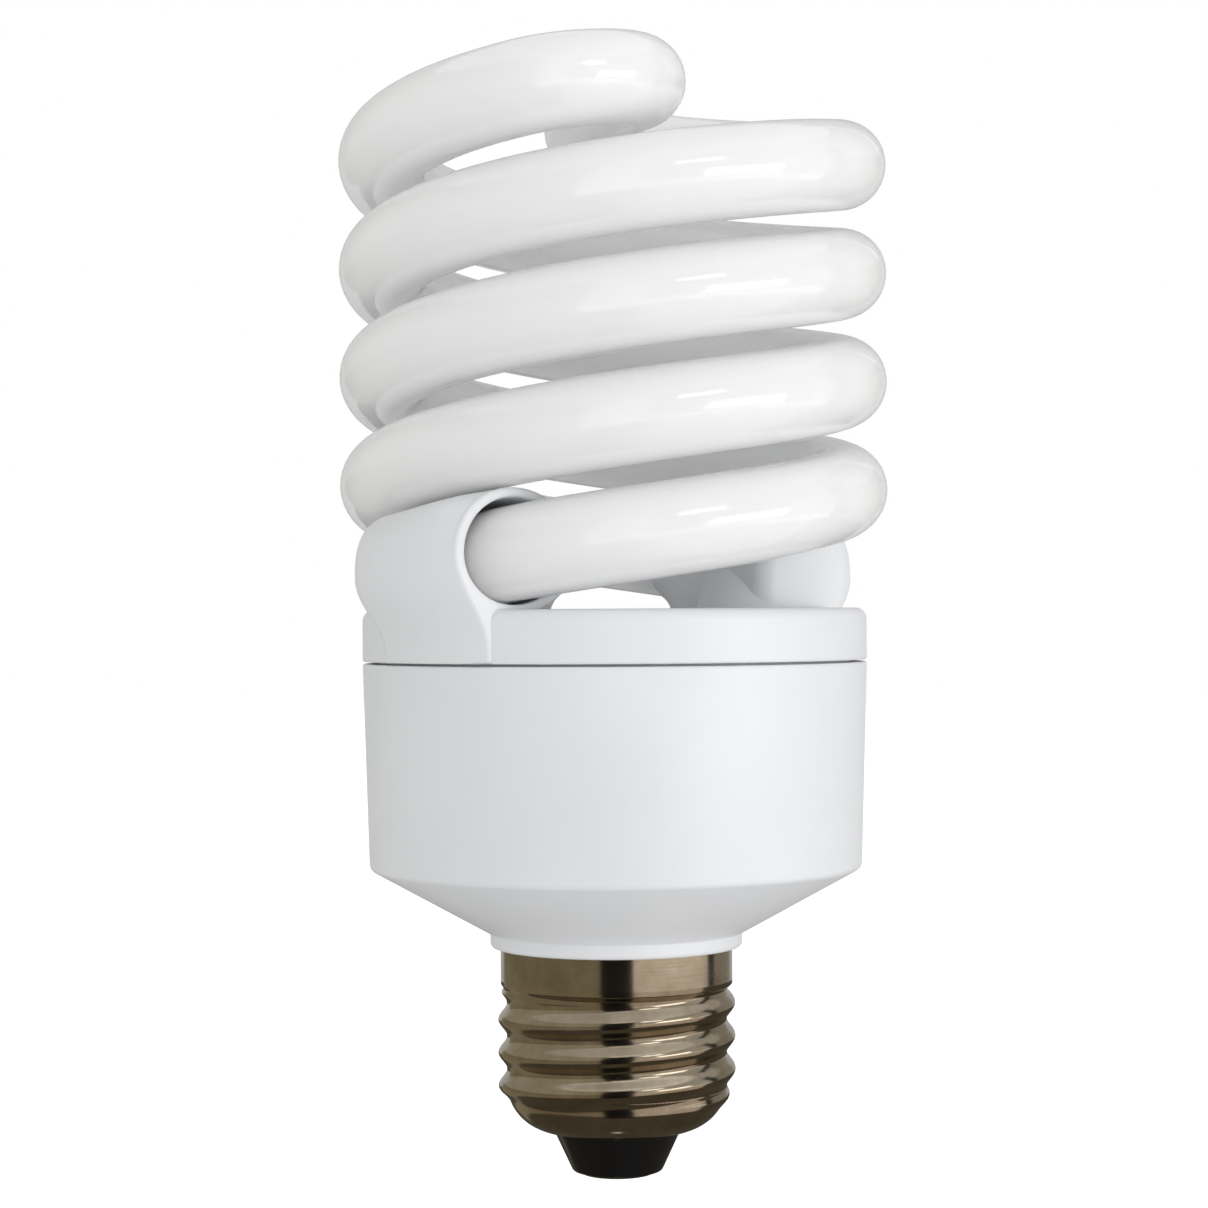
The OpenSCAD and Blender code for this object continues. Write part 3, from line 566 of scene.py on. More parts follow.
@dataclass
class GlassSpiral:
    """The bent glass tube: two strands that coil up from the cover and join across the top.

    Lengths are in mm and angles in degrees. The lead is a strand's rise in one turn, and the lift
    is the height of its middle over the cover where it passes the front.
    """

    cover_top: float
    tube_d: float = 9.8
    coil_r: float = 25.1
    lead: float = 23.65
    lift: float = 7.3
    foot_angle: float = 245.0
    top_angle: float = 968.2
    top_bend_r: float = 8.9
    foot_bend_r: float = 8.9
    foot_lean: float = 42.0
    foot_turn: float = 78.0
    foot_leg: float = 1.6
    bridge_ease: float = 0.82
    step: float = 2.0
    foot_step: float = 4.0
    bend_steps: int = 32
    bridge_steps: int = 12
    sides: int = 40

    def coil_z(self, angle: np.ndarray | float) -> np.ndarray | float:
        """Gives the height of a strand's middle at an angle in radians."""
        return self.cover_top + self.lift + self.lead * (angle - FRONT) / FULL

    @property
    def slope(self) -> float:
        """The coil's rise for each mm along its plan."""
        return self.lead / (FULL * self.coil_r)

    @property
    def rise(self) -> float:
        """How much taller an upright section of the coil is than a square one."""
        return math.hypot(1, self.slope)

    def foot_frame(self, turn: float) -> tuple[np.ndarray, np.ndarray]:
        """Gives the middle of the bent foot and its direction.

        Args:
            turn: how far the bend has turned, in radians.

        Returns:
            The point in mm, and a vector of length 1 along the tube, towards its end.
        """
        start_angle, lean = math.radians(self.foot_angle), math.radians(self.foot_lean)
        outward = around(start_angle, 1, 0)
        ahead = unit(np.array([outward[1], -outward[0], -self.slope]))
        under = unit(np.cross(ahead, -outward))
        bend_to = math.cos(lean) * under - math.sin(lean) * outward
        start = around(start_angle, self.coil_r, self.coil_z(start_angle))
        c, s = math.cos(turn), math.sin(turn)
        return start + self.foot_bend_r * (s * ahead + (1 - c) * bend_to), c * ahead + s * bend_to

    def foot_points(self) -> np.ndarray:
        """Gives the middle of the tube along the bent foot, from its end up to the coil.

        Returns:
            The points in mm, one row each.
        """
        turn = math.radians(self.foot_turn)
        steps = np.linspace(turn, 0, round(self.foot_turn / self.foot_step), endpoint=False)
        arc = np.array([self.foot_frame(a)[0] for a in steps])
        end, leaving = self.foot_frame(turn)
        return np.concatenate([[end + self.foot_leg * leaving], arc])

    def top_points(self) -> np.ndarray:
        """Gives the middle of the tube from the end of the coil to the lamp's axis.

        Returns:
            The points in mm, one row each.
        """
        start, r = math.radians(self.top_angle), self.top_bend_r
        centre_r = self.coil_r - r
        sweep = math.pi / 2 + math.asin(r / centre_r)
        bend = start + np.linspace(0, sweep, self.bend_steps + 1)[1:]
        plan = centre_r * around(start, 1, 0)[:2] + r * around(bend, 1, 0)[:, :2]
        run = np.linspace(0, 1, self.bridge_steps + 1)[1:, None]
        plan = np.concatenate([plan, plan[-1] * (1 - run)])
        last = around(start, self.coil_r, 0)[:2]
        length = np.cumsum(np.linalg.norm(np.diff(plan, axis=0, prepend=[last]), axis=1))
        eased = self.bridge_ease * length**2 / (2 * length[-1])
        z = self.coil_z(start) + self.slope * (length - eased)
        return np.column_stack([plan, z])

    def middle(self) -> np.ndarray:
        """Gives the middle of the whole tube, from one foot to the other.

        Returns:
            The points in mm, one row each.
        """
        first, last = math.radians(self.foot_angle), math.radians(self.top_angle)
        count = round((self.top_angle - self.foot_angle) / self.step)
        a = np.linspace(first, last, count + 1)
        coil = around(a, self.coil_r, self.coil_z(a))
        half = np.concatenate([self.foot_points(), coil, self.top_points()])
        return np.concatenate([half, half[-2::-1] * [-1, -1, 1]])

    def build(self) -> bpy.types.Object:
        """Sweeps the tube along its middle and dresses it.

        Returns:
            The tube.
        """
        path = self.middle()
        t = unit(np.gradient(path, axis=0))
        side = np.empty_like(t)
        carried = around(math.radians(self.foot_angle), 1, 0)
        for i, along in enumerate(t):
            carried = unit(carried - (carried @ along) * along)
            side[i] = carried
        up = np.cross(t, side)
        a = np.arange(self.sides) * FULL / self.sides
        r = self.tube_d / 2
        ring = np.cos(a)[None, :, None] * side[:, None] + np.sin(a)[None, :, None] * up[:, None]
        points = path[:, None] + r * ring
        n = self.sides
        faces = grid_faces(len(path), n, close_rows=False).tolist()
        faces += [list(range(n)), list(range(len(path) * n - 1, (len(path) - 1) * n - 1, -1))]
        piece = new_piece("glass_spiral", points, faces)
        length = np.concatenate([[0], np.cumsum(np.linalg.norm(np.diff(path, axis=0), axis=1))])
        drawn = np.empty((len(path), n, 3))
        drawn[..., 0] = length[:, None]
        drawn[..., 1] = r * np.cos(a)
        drawn[..., 2] = r * np.sin(a)
        layer = piece.data.attributes.new("drawn", "FLOAT_VECTOR", "POINT")
        layer.data.foreach_set("vector", (drawn * MM).ravel())
        finish_piece(piece, GLASS, "glass_coated", "spiral_tube")
        return piece


class CoverRegion(IntEnum):
    """The solids that the cover is joined from, which meet in sharp edges."""

    PLATE = 0
    ARCH = 1
    SLEEVE = 2
    SPACE = 3
    CHANNEL = 4


@dataclass
class UpperCover:
    """The moulded cover: a flat top with a band, and two hoods over the feet of the glass tube.

    Lengths are in mm and angles in degrees around the lamp's axis, or along the bend of the foot
    for the leg.
    """

    levels: Levels
    spiral: GlassSpiral
    rim_d: float = 55.3
    joint_gap: float = 0.25
    wall: float = 1.5
    edge: float = 1.2
    low_edge: float = 0.2
    inner_edge: float = 0.4
    skirt_edge: float = 0.2
    snap_edge: float = 0.15
    skirt_h: float = 4.0
    skirt_t: float = 1.2
    housing_wall: float = 1.6
    fit: float = 0.15
    snap_h: float = 1.2
    snap_depth: float = 0.35
    cut: float = 0.5
    hood_wall: float = 1.0
    tube_gap: float = 0.35
    roof_gap: float = 0.3
    mouth_angle: float = 246.4
    mouth_skew: float = 32.0
    mouth_edge: float = 0.25
    square_angle: float = 225.0
    end_angle: float = 206.0
    end_edge: float = 2.4
    upright_share: float = 0.5
    power: float = 0.7
    inner_ease: float = 0.8
    proud: float = 0.25
    leg_start_turn: float = 32.0
    leg_start_share: float = 0.6
    leg_full_turn: float = 46.0
    clear_z: float = 80.0
    sides: int = 96
    turned_sides: int = 256
    clear_sides: int = 64
    run_steps: int = 24
    edge_steps: int = 6
    leg_steps: int = 8

    @property
    def low_z(self) -> float:
        """The height of the band's lower edge."""
        return self.levels.joint + self.joint_gap

    @property
    def reach(self) -> float:
        """How far a hood's wall stands out from the middle of the tube."""
        return self.spiral.tube_d / 2 + self.tube_gap + self.hood_wall

    @property
    def roof(self) -> float:
        """How far a hood's top stands over the middle of the tube, under the strand above it."""
        return self.spiral.lead / 2 - self.spiral.tube_d / 2 - self.roof_gap

    def plate_outline(self) -> np.ndarray:
        """Gives the section without hoods, from the axis down the inside and up the outside.

        Returns:
            (radius, height) points in mm.
        """
        top, joint, rim_r = self.spiral.cover_top, self.levels.joint, self.rim_d / 2
        skirt_r = rim_r - self.housing_wall - self.fit
        inner_r, foot_z = skirt_r - self.skirt_t, joint - self.skirt_h
        bead_z = joint - self.skirt_h / 2
        return rounded(
            [
                (0, top - self.wall, 0),
                (inner_r, top - self.wall, self.inner_edge),
                (inner_r, foot_z, self.skirt_edge),
                (skirt_r - self.fit, foot_z, self.skirt_edge),
                (skirt_r, bead_z - self.snap_h / 2, 0),
                (skirt_r + self.snap_depth, bead_z, self.snap_edge),
                (skirt_r, bead_z + self.snap_h / 2, 0),
                (skirt_r, self.low_z, 0),
                (rim_r, self.low_z, self.low_edge),
                (rim_r, top, self.edge),
                (0, top, 0),
            ]
        )

    def section(
        self, inset: float, over_foot: float, depth: float, upright: float, flow: float
    ) -> np.ndarray:
        """Gives a hood's section around the middle of the tube.

        Args:
            inset: how far it lies inside the outer surface.
            over_foot: the height of the tube's middle over the section's foot.
            depth: the height of the tube's middle over the band's lower edge.
            upright: 0 for a round section, 1 for upright walls and a squarer top.
            flow: 1 where the outer wall flows down to the band.

        Returns:
            (outward, up) points in mm.
        """
        j = np.arange(self.sides)
        u, w = np.cos(FULL * j / self.sides), np.sin(FULL * j / self.sides)
        side, roof, rise = self.reach - inset, self.roof - inset, self.spiral.rise
        inner, power = side + self.inner_ease * upright, 1 - (1 - self.power) * upright
        circle = np.stack([side * u, side * w * rise], -1)
        half = np.where(u < 0, inner, side) * np.sign(u)
        top = np.stack([half * np.abs(u) ** power, roof * np.maximum(w, 0) ** power * rise], -1)
        share = (self.sides - j) / (self.sides / 4 - 1)
        down = np.minimum(share * over_foot / depth, 1)
        foot = self.rim_d / 2 + self.proud - self.spiral.coil_r
        outward = foot + (self.reach - foot) * (1 - down**2) ** 3 - inset
        wall = np.stack([outward, -share * over_foot], -1)
        square = np.maximum(np.abs(u), np.abs(w))
        box = np.stack([np.minimum(u, 0) / square * inner, w / square * over_foot], -1)
        outer, others = circle + flow * (wall - circle), circle + upright * (box - circle)
        low = np.where((share <= 1)[:, None], outer, others)
        return np.where((w >= 0)[:, None], top, low)

    def ring(
        self, angle: float, inset: float, foot_z: float, upright: float, flow: float,
        skew: float = 0.0, ahead: float = 0.0,
    ) -> np.ndarray:
        """Places a section on the coil, in an upright plane.

        Args:
            angle: where the plane crosses the middle of the tube, in degrees around the axis.
            inset: how far the section lies inside the outer surface.
            foot_z: the height of its foot.
            upright: as for the section.
            flow: as for the section.
            skew: the turn of the plane away from a square cut, in degrees.
            ahead: how far the plane is moved towards the mouth.

        Returns:
            The ring's points in mm.
        """
        a, turn = math.radians(angle), math.radians(skew)
        z, coil_r = self.spiral.coil_z(a), self.spiral.coil_r
        p = self.section(inset, z - foot_z, z - self.low_z, upright, flow)
        r = coil_r + p[:, 0]
        at = a + math.pi / 2 - turn - np.arccos((coil_r * math.sin(turn) + ahead) / r)
        return around(at, r, z + p[:, 1])

    def arch(self, name: str, inset: float, foot_z: float, region: CoverRegion) -> bpy.types.Object:
        """Builds the solid of a hood, or the space inside it.

        Args:
            name: the solid's name.
            inset: 0 for the hood, and the wall's thickness for the space.
            foot_z: the height of its foot.
            region: its region.

        Returns:
            The solid.
        """
        hollow = inset > 0
        rings = []
        if hollow:
            wider = inset - self.mouth_edge
            mouth = (self.mouth_angle, wider, foot_z, 0, 0, self.mouth_skew, self.cut)
            rings.append(self.ring(*mouth))
        for b in np.linspace(0, math.pi / 2, self.edge_steps + 1):
            edge = self.mouth_edge * (1 - math.sin(b)) * (-1 if hollow else 1)
            ahead = -self.mouth_edge * (1 - math.cos(b))
            flow = 0 if hollow else 1
            mouth = (self.mouth_angle, inset + edge, foot_z, 0, flow, self.mouth_skew, ahead)
            rings.append(self.ring(*mouth))
        for k in np.arange(1, self.run_steps + 1) / self.run_steps:
            upright = float(smooth_step(k / self.upright_share))
            angle = self.mouth_angle + (self.square_angle - self.mouth_angle) * k
            flow = upright if hollow else 1
            rings.append(self.ring(angle, inset, foot_z, upright, flow, self.mouth_skew * (1 - k)))
        edge_r = self.end_edge - inset
        for b in np.linspace(0, math.pi / 2, self.edge_steps + 1):
            short = math.degrees((inset + edge_r * (1 - math.sin(b))) / self.spiral.coil_r)
            further = inset + edge_r * (1 - math.cos(b))
            rings.append(self.ring(self.end_angle + short, further, foot_z, 1, 1))
        return mark_region(lofted_piece(name, np.array(rings)), region)

    def leg(self, name: str, inset: float, below: float, region: CoverRegion) -> bpy.types.Object:
        """Builds the round sleeve over the tube's foot, or the space inside it.

        Args:
            name: the solid's name.
            inset: 0 for the sleeve, and the wall's thickness for the space.
            below: how far it runs on under the tube's end.
            region: its region.

        Returns:
            The solid.
        """
        r = self.reach - inset
        stations = [(self.leg_start_turn, 0.0, r * self.leg_start_share)]
        turns = np.linspace(self.leg_full_turn, self.spiral.foot_turn, self.leg_steps + 1)
        stations += [(turn, 0.0, r) for turn in turns]
        stations.append((self.spiral.foot_turn, self.spiral.foot_leg + below, r))
        a = np.arange(self.sides)[:, None] * FULL / self.sides
        rings = []
        for turn, past, radius in stations:
            middle, along = self.spiral.foot_frame(math.radians(turn))
            outward = around(math.atan2(middle[1], middle[0]), 1, 0)
            out = unit(outward - (outward @ along) * along)
            ring = radius * (np.cos(a) * out + np.sin(a) * np.cross(along, out))
            rings.append(middle + past * along + ring)
        return mark_region(lofted_piece(name, np.array(rings)), region)

    def build(self) -> bpy.types.Object:
        """Joins the plate and the hoods, cuts the spaces for the tube and dresses the cover.

        Returns:
            The cover.
        """
        cover = turned_piece("hooded_cover", self.plate_outline(), self.turned_sides)
        mark_region(cover, CoverRegion.PLATE)
        open_z = self.spiral.cover_top - self.wall - self.cut
        low, high = self.low_z, self.clear_z
        above = rounded([(0, low, 0), (self.rim_d, low, 0), (self.rim_d, high, 0), (0, high, 0)])
        half_turn = Matrix.Rotation(math.pi, 4, "Z")
        for turn in (Matrix.Identity(4), half_turn):
            arch = self.arch("arch", 0, self.low_z, CoverRegion.ARCH)
            sleeve = self.leg("sleeve", 0, self.reach, CoverRegion.SLEEVE)
            clear = turned_piece("above", above, self.clear_sides)
            join(sleeve, mark_region(clear, CoverRegion.SLEEVE), Join.KEEP)
            for solid in (arch, sleeve):
                solid.data.transform(turn)
                join(cover, solid, Join.ADD)
        for turn in (Matrix.Identity(4), half_turn):
            space = self.arch("space", self.hood_wall, open_z, CoverRegion.SPACE)
            below = self.reach + self.spiral.tube_d
            channel = self.leg("channel", self.hood_wall, below, CoverRegion.CHANNEL)
            for solid in (space, channel):
                solid.data.transform(turn)
                join(cover, solid, Join.CUT)
        sharpen_between_regions(cover)
        finish_piece(cover, PLASTIC, "plastic_white", "upper_cover")
        return cover


class HousingRegion(IntEnum):
    """The solids that the housing is joined from, which meet in sharp edges."""

    SHELL = 0
    RIB = 1


@dataclass
class LowerHousing:
    """The moulded shell between the screw cap and the joint line.

    Lengths are in mm.
    """

    levels: Levels
    wall: float = 1.6
    collar_d: float = 27.7
    collar_h: float = 1.7
    collar_edge: float = 0.5
    cone_low_d: float = 28.4
    cone_h: float = 7.1
    cone_edge: float = 0.8
    rim_d: float = 55.3
    taper: float = 1.3
    neck_r: float = 11.6
    neck_band_r: float = 12.25
    neck_wall: float = 1.2
    neck_len: float = 12.5
    band_h: float = 4.0
    rim_edge: float = 0.25
    neck_edge: float = 0.2
    collar_foot_edge: float = 0.15
    cone_foot_edge: float = 0.1
    inner_edge: float = 1.0
    bore_edge: float = 0.5
    skirt_h: float = 4.0
    snap_h: float = 1.2
    snap_depth: float = 0.35
    rib_count: int = 4
    rib_t: float = 1.6
    rib_reach: float = 2.4
    rib_h: float = 9.0
    turned_sides: int = 256

    def outline(self) -> np.ndarray:
        """Gives the section, up the outside and down the inside.

        Returns:
            (radius, height) points in mm.
        """
        top, joint = self.levels.shell_top, self.levels.joint
        cone_z = top + self.collar_h
        wall_z = cone_z + self.cone_h
        low_r, rim_r = (self.rim_d - self.taper) / 2, self.rim_d / 2
        lean = math.atan2(self.cone_h, low_r - self.cone_low_d / 2)
        rise = self.wall / math.cos(lean)
        bore_r = self.neck_r - self.neck_wall
        inner_z = cone_z + rise - (self.cone_low_d / 2 - bore_r) * math.tan(lean)
        inner_low_r = low_r - self.wall
        inner_low_z = cone_z + rise + (inner_low_r - self.cone_low_d / 2) * math.tan(lean)
        neck_low, band_low = top - self.neck_len, top - self.band_h
        inner_rim_r, snap_z = rim_r - self.wall, joint - self.skirt_h / 2
        return rounded(
            [
                (bore_r, neck_low, 0),
                (self.neck_r, neck_low, self.neck_edge),
                (self.neck_r, band_low, self.neck_edge),
                (self.neck_band_r, band_low + self.neck_band_r - self.neck_r, self.neck_edge),
                (self.neck_band_r, top, 0),
                (self.collar_d / 2, top, self.collar_edge),
                (self.collar_d / 2, cone_z, self.collar_foot_edge),
                (self.cone_low_d / 2, cone_z, self.cone_foot_edge),
                (low_r, wall_z, self.cone_edge),
                (rim_r, joint, self.rim_edge),
                (inner_rim_r, joint, self.rim_edge),
                (inner_rim_r, snap_z + self.snap_h, 0),
                (inner_rim_r + self.snap_depth, snap_z + self.snap_h / 2, 0),
                (inner_rim_r + self.snap_depth, snap_z - self.snap_h / 2, 0),
                (inner_rim_r, snap_z - self.snap_h, 0),
                (inner_low_r, inner_low_z, self.inner_edge),
                (bore_r, inner_z, self.bore_edge),
            ]
        )

    def rib(self, number: int) -> bpy.types.Object:
        """Builds one of the ribs that the board rests on.

        Args:
            number: which rib, from 0.

        Returns:
            The rib.
        """
        board_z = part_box("circuit_board")[0].z / MM
        high_r = (self.rim_d - self.taper) / 2 - self.wall / 2
        low_r = high_r - self.wall / 2 - self.rib_reach
        foot = [(low_r, -1), (high_r, -1), (high_r, 1), (low_r, 1)]
        heights = (board_z - self.rib_h, board_z)
        rings = [[(x, y * self.rib_t / 2, z) for x, y in foot] for z in heights]
        piece = lofted_piece("rib", np.array(rings))
        piece.data.transform(Matrix.Rotation(FULL * (number + 0.5) / self.rib_count, 4, "Z"))
        return piece

    def build(self) -> bpy.types.Object:
        """Turns the section, adds the ribs and dresses the shell.

        Returns:
            The shell.
        """
        piece = turned_piece("housing_shell", self.outline(), self.turned_sides)
        mark_region(piece, HousingRegion.SHELL)
        for number in range(self.rib_count):
            join(piece, mark_region(self.rib(number), HousingRegion.RIB), Join.ADD)
        sharpen_between_regions(piece)
        finish_piece(piece, PLASTIC, "plastic_white", "lower_housing")
        return piece


@dataclass
class ScrewCap:
    """The cap: a rolled screw shell, its black insulator and the contact under it.

    Lengths are in mm. The thread's phase and start are heights over the shell's rim.
    """

    levels: Levels
    wall: float = 0.35
    mouth_r: float = 7.05
    major_d: float = 26.1
    minor_d: float = 24.2
    pitch: float = 3.629
    band_d: float = 25.5
    band_h: float = 4.7
    band_step: float = 0.7
    shoulder_h: float = 5.0
    phase: float = 10.3
    start: float = 2.2
    fade_in: float = 2.4
    fade_out: float = 1.2
    hole_r: float = 0.9
    contact_r: float = 4.3
    contact_edge: float = 0.4
    contact_round_step: float = 10.0
    seat_depth: float = 0.6
    seat_edge: float = 0.1
    foot_r: float = 4.9
    foot_edge: float = 0.5
    waist_r: float = 6.3
    waist_drop: float = 1.6
    waist_edge: float = 2.0
    plug_gap: float = 0.05
    plug_drop: float = 0.1
    plug_edge: float = 0.3
    swell_out: float = 1.5
    swell_up: float = 0.6
    swell_edge: float = 0.5
    top_slope: float = 0.3
    top_edge: float = 0.1
    sharp: float = 60.0
    sides: int = 160
    foot_sides: int = 128
    rows_per_turn: int = 20
    bowl_rows: int = 24
    flare_rows: int = 7
    band_rows: int = 8

    def thread(self, angle: np.ndarray, z: np.ndarray) -> np.ndarray:
        """Gives the height of the thread over the root.

        Args:
            angle: angles around the lamp's axis, in radians.
            z: heights in mm.

        Returns:
            The thread's heights in mm.
        """
        rim = self.levels.shell_rim
        band = self.levels.shell_top - self.band_h
        wave = (1 + np.cos(FULL * (z - rim - self.phase) / self.pitch - angle)) / 2
        fade = smooth_step((z - rim - self.start) / self.fade_in)
        fade = fade * smooth_step((band + self.fade_out / 2 - z) / self.fade_out)
        return (self.major_d - self.minor_d) / 2 * fade * wave

    def profile(self, inset: float) -> np.ndarray:
        """Gives the sheet's section without the thread, from the rim up to the top edge.

        Args:
            inset: 0 for the outer face, and the sheet's thickness for the inner one.

        Returns:
            (radius, height) points in mm.
        """
        rim, top, root = self.levels.shell_rim, self.levels.shell_top, self.minor_d / 2
        band, shoulder = top - self.band_h, rim + self.shoulder_h
        a = np.linspace(0, math.pi / 2, self.bowl_rows, endpoint=False)
        bowl = np.column_stack(
            [
                self.mouth_r + inset + (root - self.mouth_r - inset) * np.sin(a),
                shoulder - (self.shoulder_h - inset) * np.cos(a),
            ]
        )
        bowl[:, 0] = np.minimum(bowl[:, 0], root)
        wall_z = np.arange(shoulder, band, self.pitch / self.rows_per_turn)
        wall = np.column_stack([np.full_like(wall_z, root), wall_z])
        k = np.linspace(0, 1, self.flare_rows)
        flare = np.column_stack(
            [root + (self.band_d / 2 - root) * smooth_step(k), band + self.band_step * k]
        )
        run = np.linspace(band + self.band_step, top, self.band_rows + 1)[1:]
        plain = np.column_stack([np.full_like(run, self.band_d / 2), run])
        rows = np.concatenate([bowl, wall, flare, plain])
        rows[self.bowl_rows :, 0] -= inset
        return rows

    def shell(self) -> bpy.types.Object:
        """Builds the threaded sheet as a skin with both its faces.

        Returns:
            The shell.
        """
        rings = np.concatenate([self.profile(0.0), self.profile(self.wall)[::-1]])
        a = np.arange(self.sides) * FULL / self.sides
        z = np.repeat(rings[:, 1:], self.sides, axis=1)
        r = rings[:, :1] + self.thread(a[None, :], z)
        faces = grid_faces(len(rings), self.sides, close_rows=True)
        piece = new_piece("threaded_shell", around(a[None, :], r, z), faces, self.sharp)
        finish_piece(piece, NICKEL, "cap_nickel", "screw_shell")
        return piece

    def insulator(self) -> bpy.types.Object:
        """Builds the glass plug in the mouth of the shell.

        Returns:
            The plug.
        """
        low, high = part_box("cap_insulator")
        foot_z, top_z = low.z / MM, high.z / MM
        seat_z, rim = foot_z + self.seat_depth, self.levels.shell_rim
        plug_r = high.x / MM
        outline = rounded(
            [
                (self.hole_r, seat_z, 0),
                (self.contact_r, seat_z, 0),
                (self.contact_r, foot_z, self.seat_edge),
                (self.foot_r, foot_z, self.foot_edge),
                (self.waist_r, rim - self.waist_drop, self.waist_edge),
                (self.mouth_r - self.plug_gap, rim - self.plug_drop, self.plug_edge),
                (self.mouth_r + self.swell_out, rim + self.swell_up, self.swell_edge),
                (plug_r, top_z - self.top_slope, self.swell_edge),
                (plug_r - self.top_slope, top_z, self.top_edge),
                (self.hole_r, top_z, 0),
            ]
        )
        piece = turned_piece("pressed_insulator", outline, self.foot_sides)
        finish_piece(piece, VITRITE, "cap_glass_black", "cap_insulator")
        return piece

    def contact(self) -> bpy.types.Object:
        """Builds the stamped plate under the insulator.

        Returns:
            The plate.
        """
        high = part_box("centre_contact")[1]
        r, t = high.x / MM, high.z / MM
        section = [(0, 0, 0), (r, 0, self.contact_edge), (r, t, 0), (0, t, 0)]
        outline = rounded(section, self.contact_round_step)
        piece = turned_piece("stamped_contact", outline, self.foot_sides)
        finish_piece(piece, BRASS, "contact_brass", "centre_contact")
        return piece


@dataclass
class Ballast:
    """The board and its parts, which keep their shapes and get their finishes."""

    slots: dict[str, str]

    def dress(self) -> None:
        """Gives each inner piece the finish of its slot."""
        made = {slot: finish.material() for slot, finish in INNER_FINISHES.items()}
        for name, slot in self.slots.items():
            mesh = frame["nodes"][name].data
            mesh.materials.clear()
            mesh.materials.append(made[slot])
            LOG.info("%s: %s", name, made[slot].name)


@dataclass(frozen=True)
class Softbox:
    """A large lamp that faces the middle of the spiral, and that mirrors don't show.

    Its place is a heading to the right of the camera and a height angle, in degrees. Lengths are in
    metres.
    """

    name: str
    heading: float
    rise: float
    distance: float
    width: float
    height: float
    watts: float
    aim_z: float = 0.06

    def build(self) -> None:
        """Hangs the lamp at its heading."""
        heading, rise = math.radians(self.heading), math.radians(self.rise)
        side, ahead = math.sin(heading) * math.cos(rise), -math.cos(heading) * math.cos(rise)
        away = Vector((side, ahead, math.sin(rise)))
        data = bpy.data.lights.new(self.name, "AREA")
        data.shape, data.size, data.size_y = "RECTANGLE", self.width, self.height
        data.energy = self.watts
        lamp = bpy.data.objects.new(self.name, data)
        turn = away.to_track_quat("Z", "Y").to_matrix().to_4x4()
        place = Vector((0, 0, self.aim_z)) + away * self.distance
        lamp.matrix_world = Matrix.Translation(place) @ turn
        lamp.visible_glossy = False
        bpy.context.scene.collection.objects.link(lamp)


@dataclass(frozen=True)
class Screen:
    """A curved screen around the lamp that only mirrors show.

    It stands between two headings to the right of the camera, in degrees, on a circle around the
    lamp's axis. Lengths are in metres. Its brightness is 1 for white.
    """

    name: str
    start: float
    end: float
    low: float
    high: float
    radius: float
    brightness: float
    colour: str = "#FFFFFF"
    step: float = 6.0

    def posts(self) -> np.ndarray:
        """Gives the directions from the lamp's axis in which the screen has a post.

        Returns:
            (x, y) vectors of length 1, one row each.
        """
        count = max(1, round((self.end - self.start) / self.step))
        heading = np.radians(np.linspace(self.start, self.end, count + 1))
        return np.stack([np.sin(heading), -np.cos(heading)], -1)

    def build(self) -> None:
        """Stands the screen on its circle."""
        foot = self.posts() * self.radius
        self.hang([(x, y, z) for z in (self.low, self.high) for x, y in foot])

    def lay(self, inner: float) -> None:
        """Lays the screen flat at its low height.

        Args:
            inner: the radius in metres where it starts. It runs out to the screen's own.
        """
        posts = self.posts()
        self.hang([(x * r, y * r, self.low) for r in (inner, self.radius) for x, y in posts])

    def hang(self, points: list[tuple[float, float, float]]) -> None:
        """Makes the screen's mesh and its cloth.

        Args:
            points: the points of one long edge in metres, and then those of the other.
        """
        count = len(points) // 2
        faces = [(i, i + 1, count + 1 + i, count + i) for i in range(count - 1)]
        mesh = bpy.data.meshes.new(self.name)
        mesh.from_pydata(points, [], faces)
        made = bpy.data.materials.new(self.name + "_cloth")
        made.use_nodes = True
        tree = made.node_tree
        tree.nodes.remove(tree.nodes["Principled BSDF"])
        values = {"Color": linear(self.colour), "Strength": self.brightness}
        glow = add_node(tree, "ShaderNodeEmission", values=values)
        tree.links.new(glow.outputs[0], tree.nodes["Material Output"].inputs["Surface"])
        mesh.materials.append(made)
        screen = bpy.data.objects.new(self.name, mesh)
        screen.visible_camera = False
        screen.visible_diffuse = False
        screen.visible_shadow = False
        screen.visible_transmission = False
        bpy.context.scene.collection.objects.link(screen)


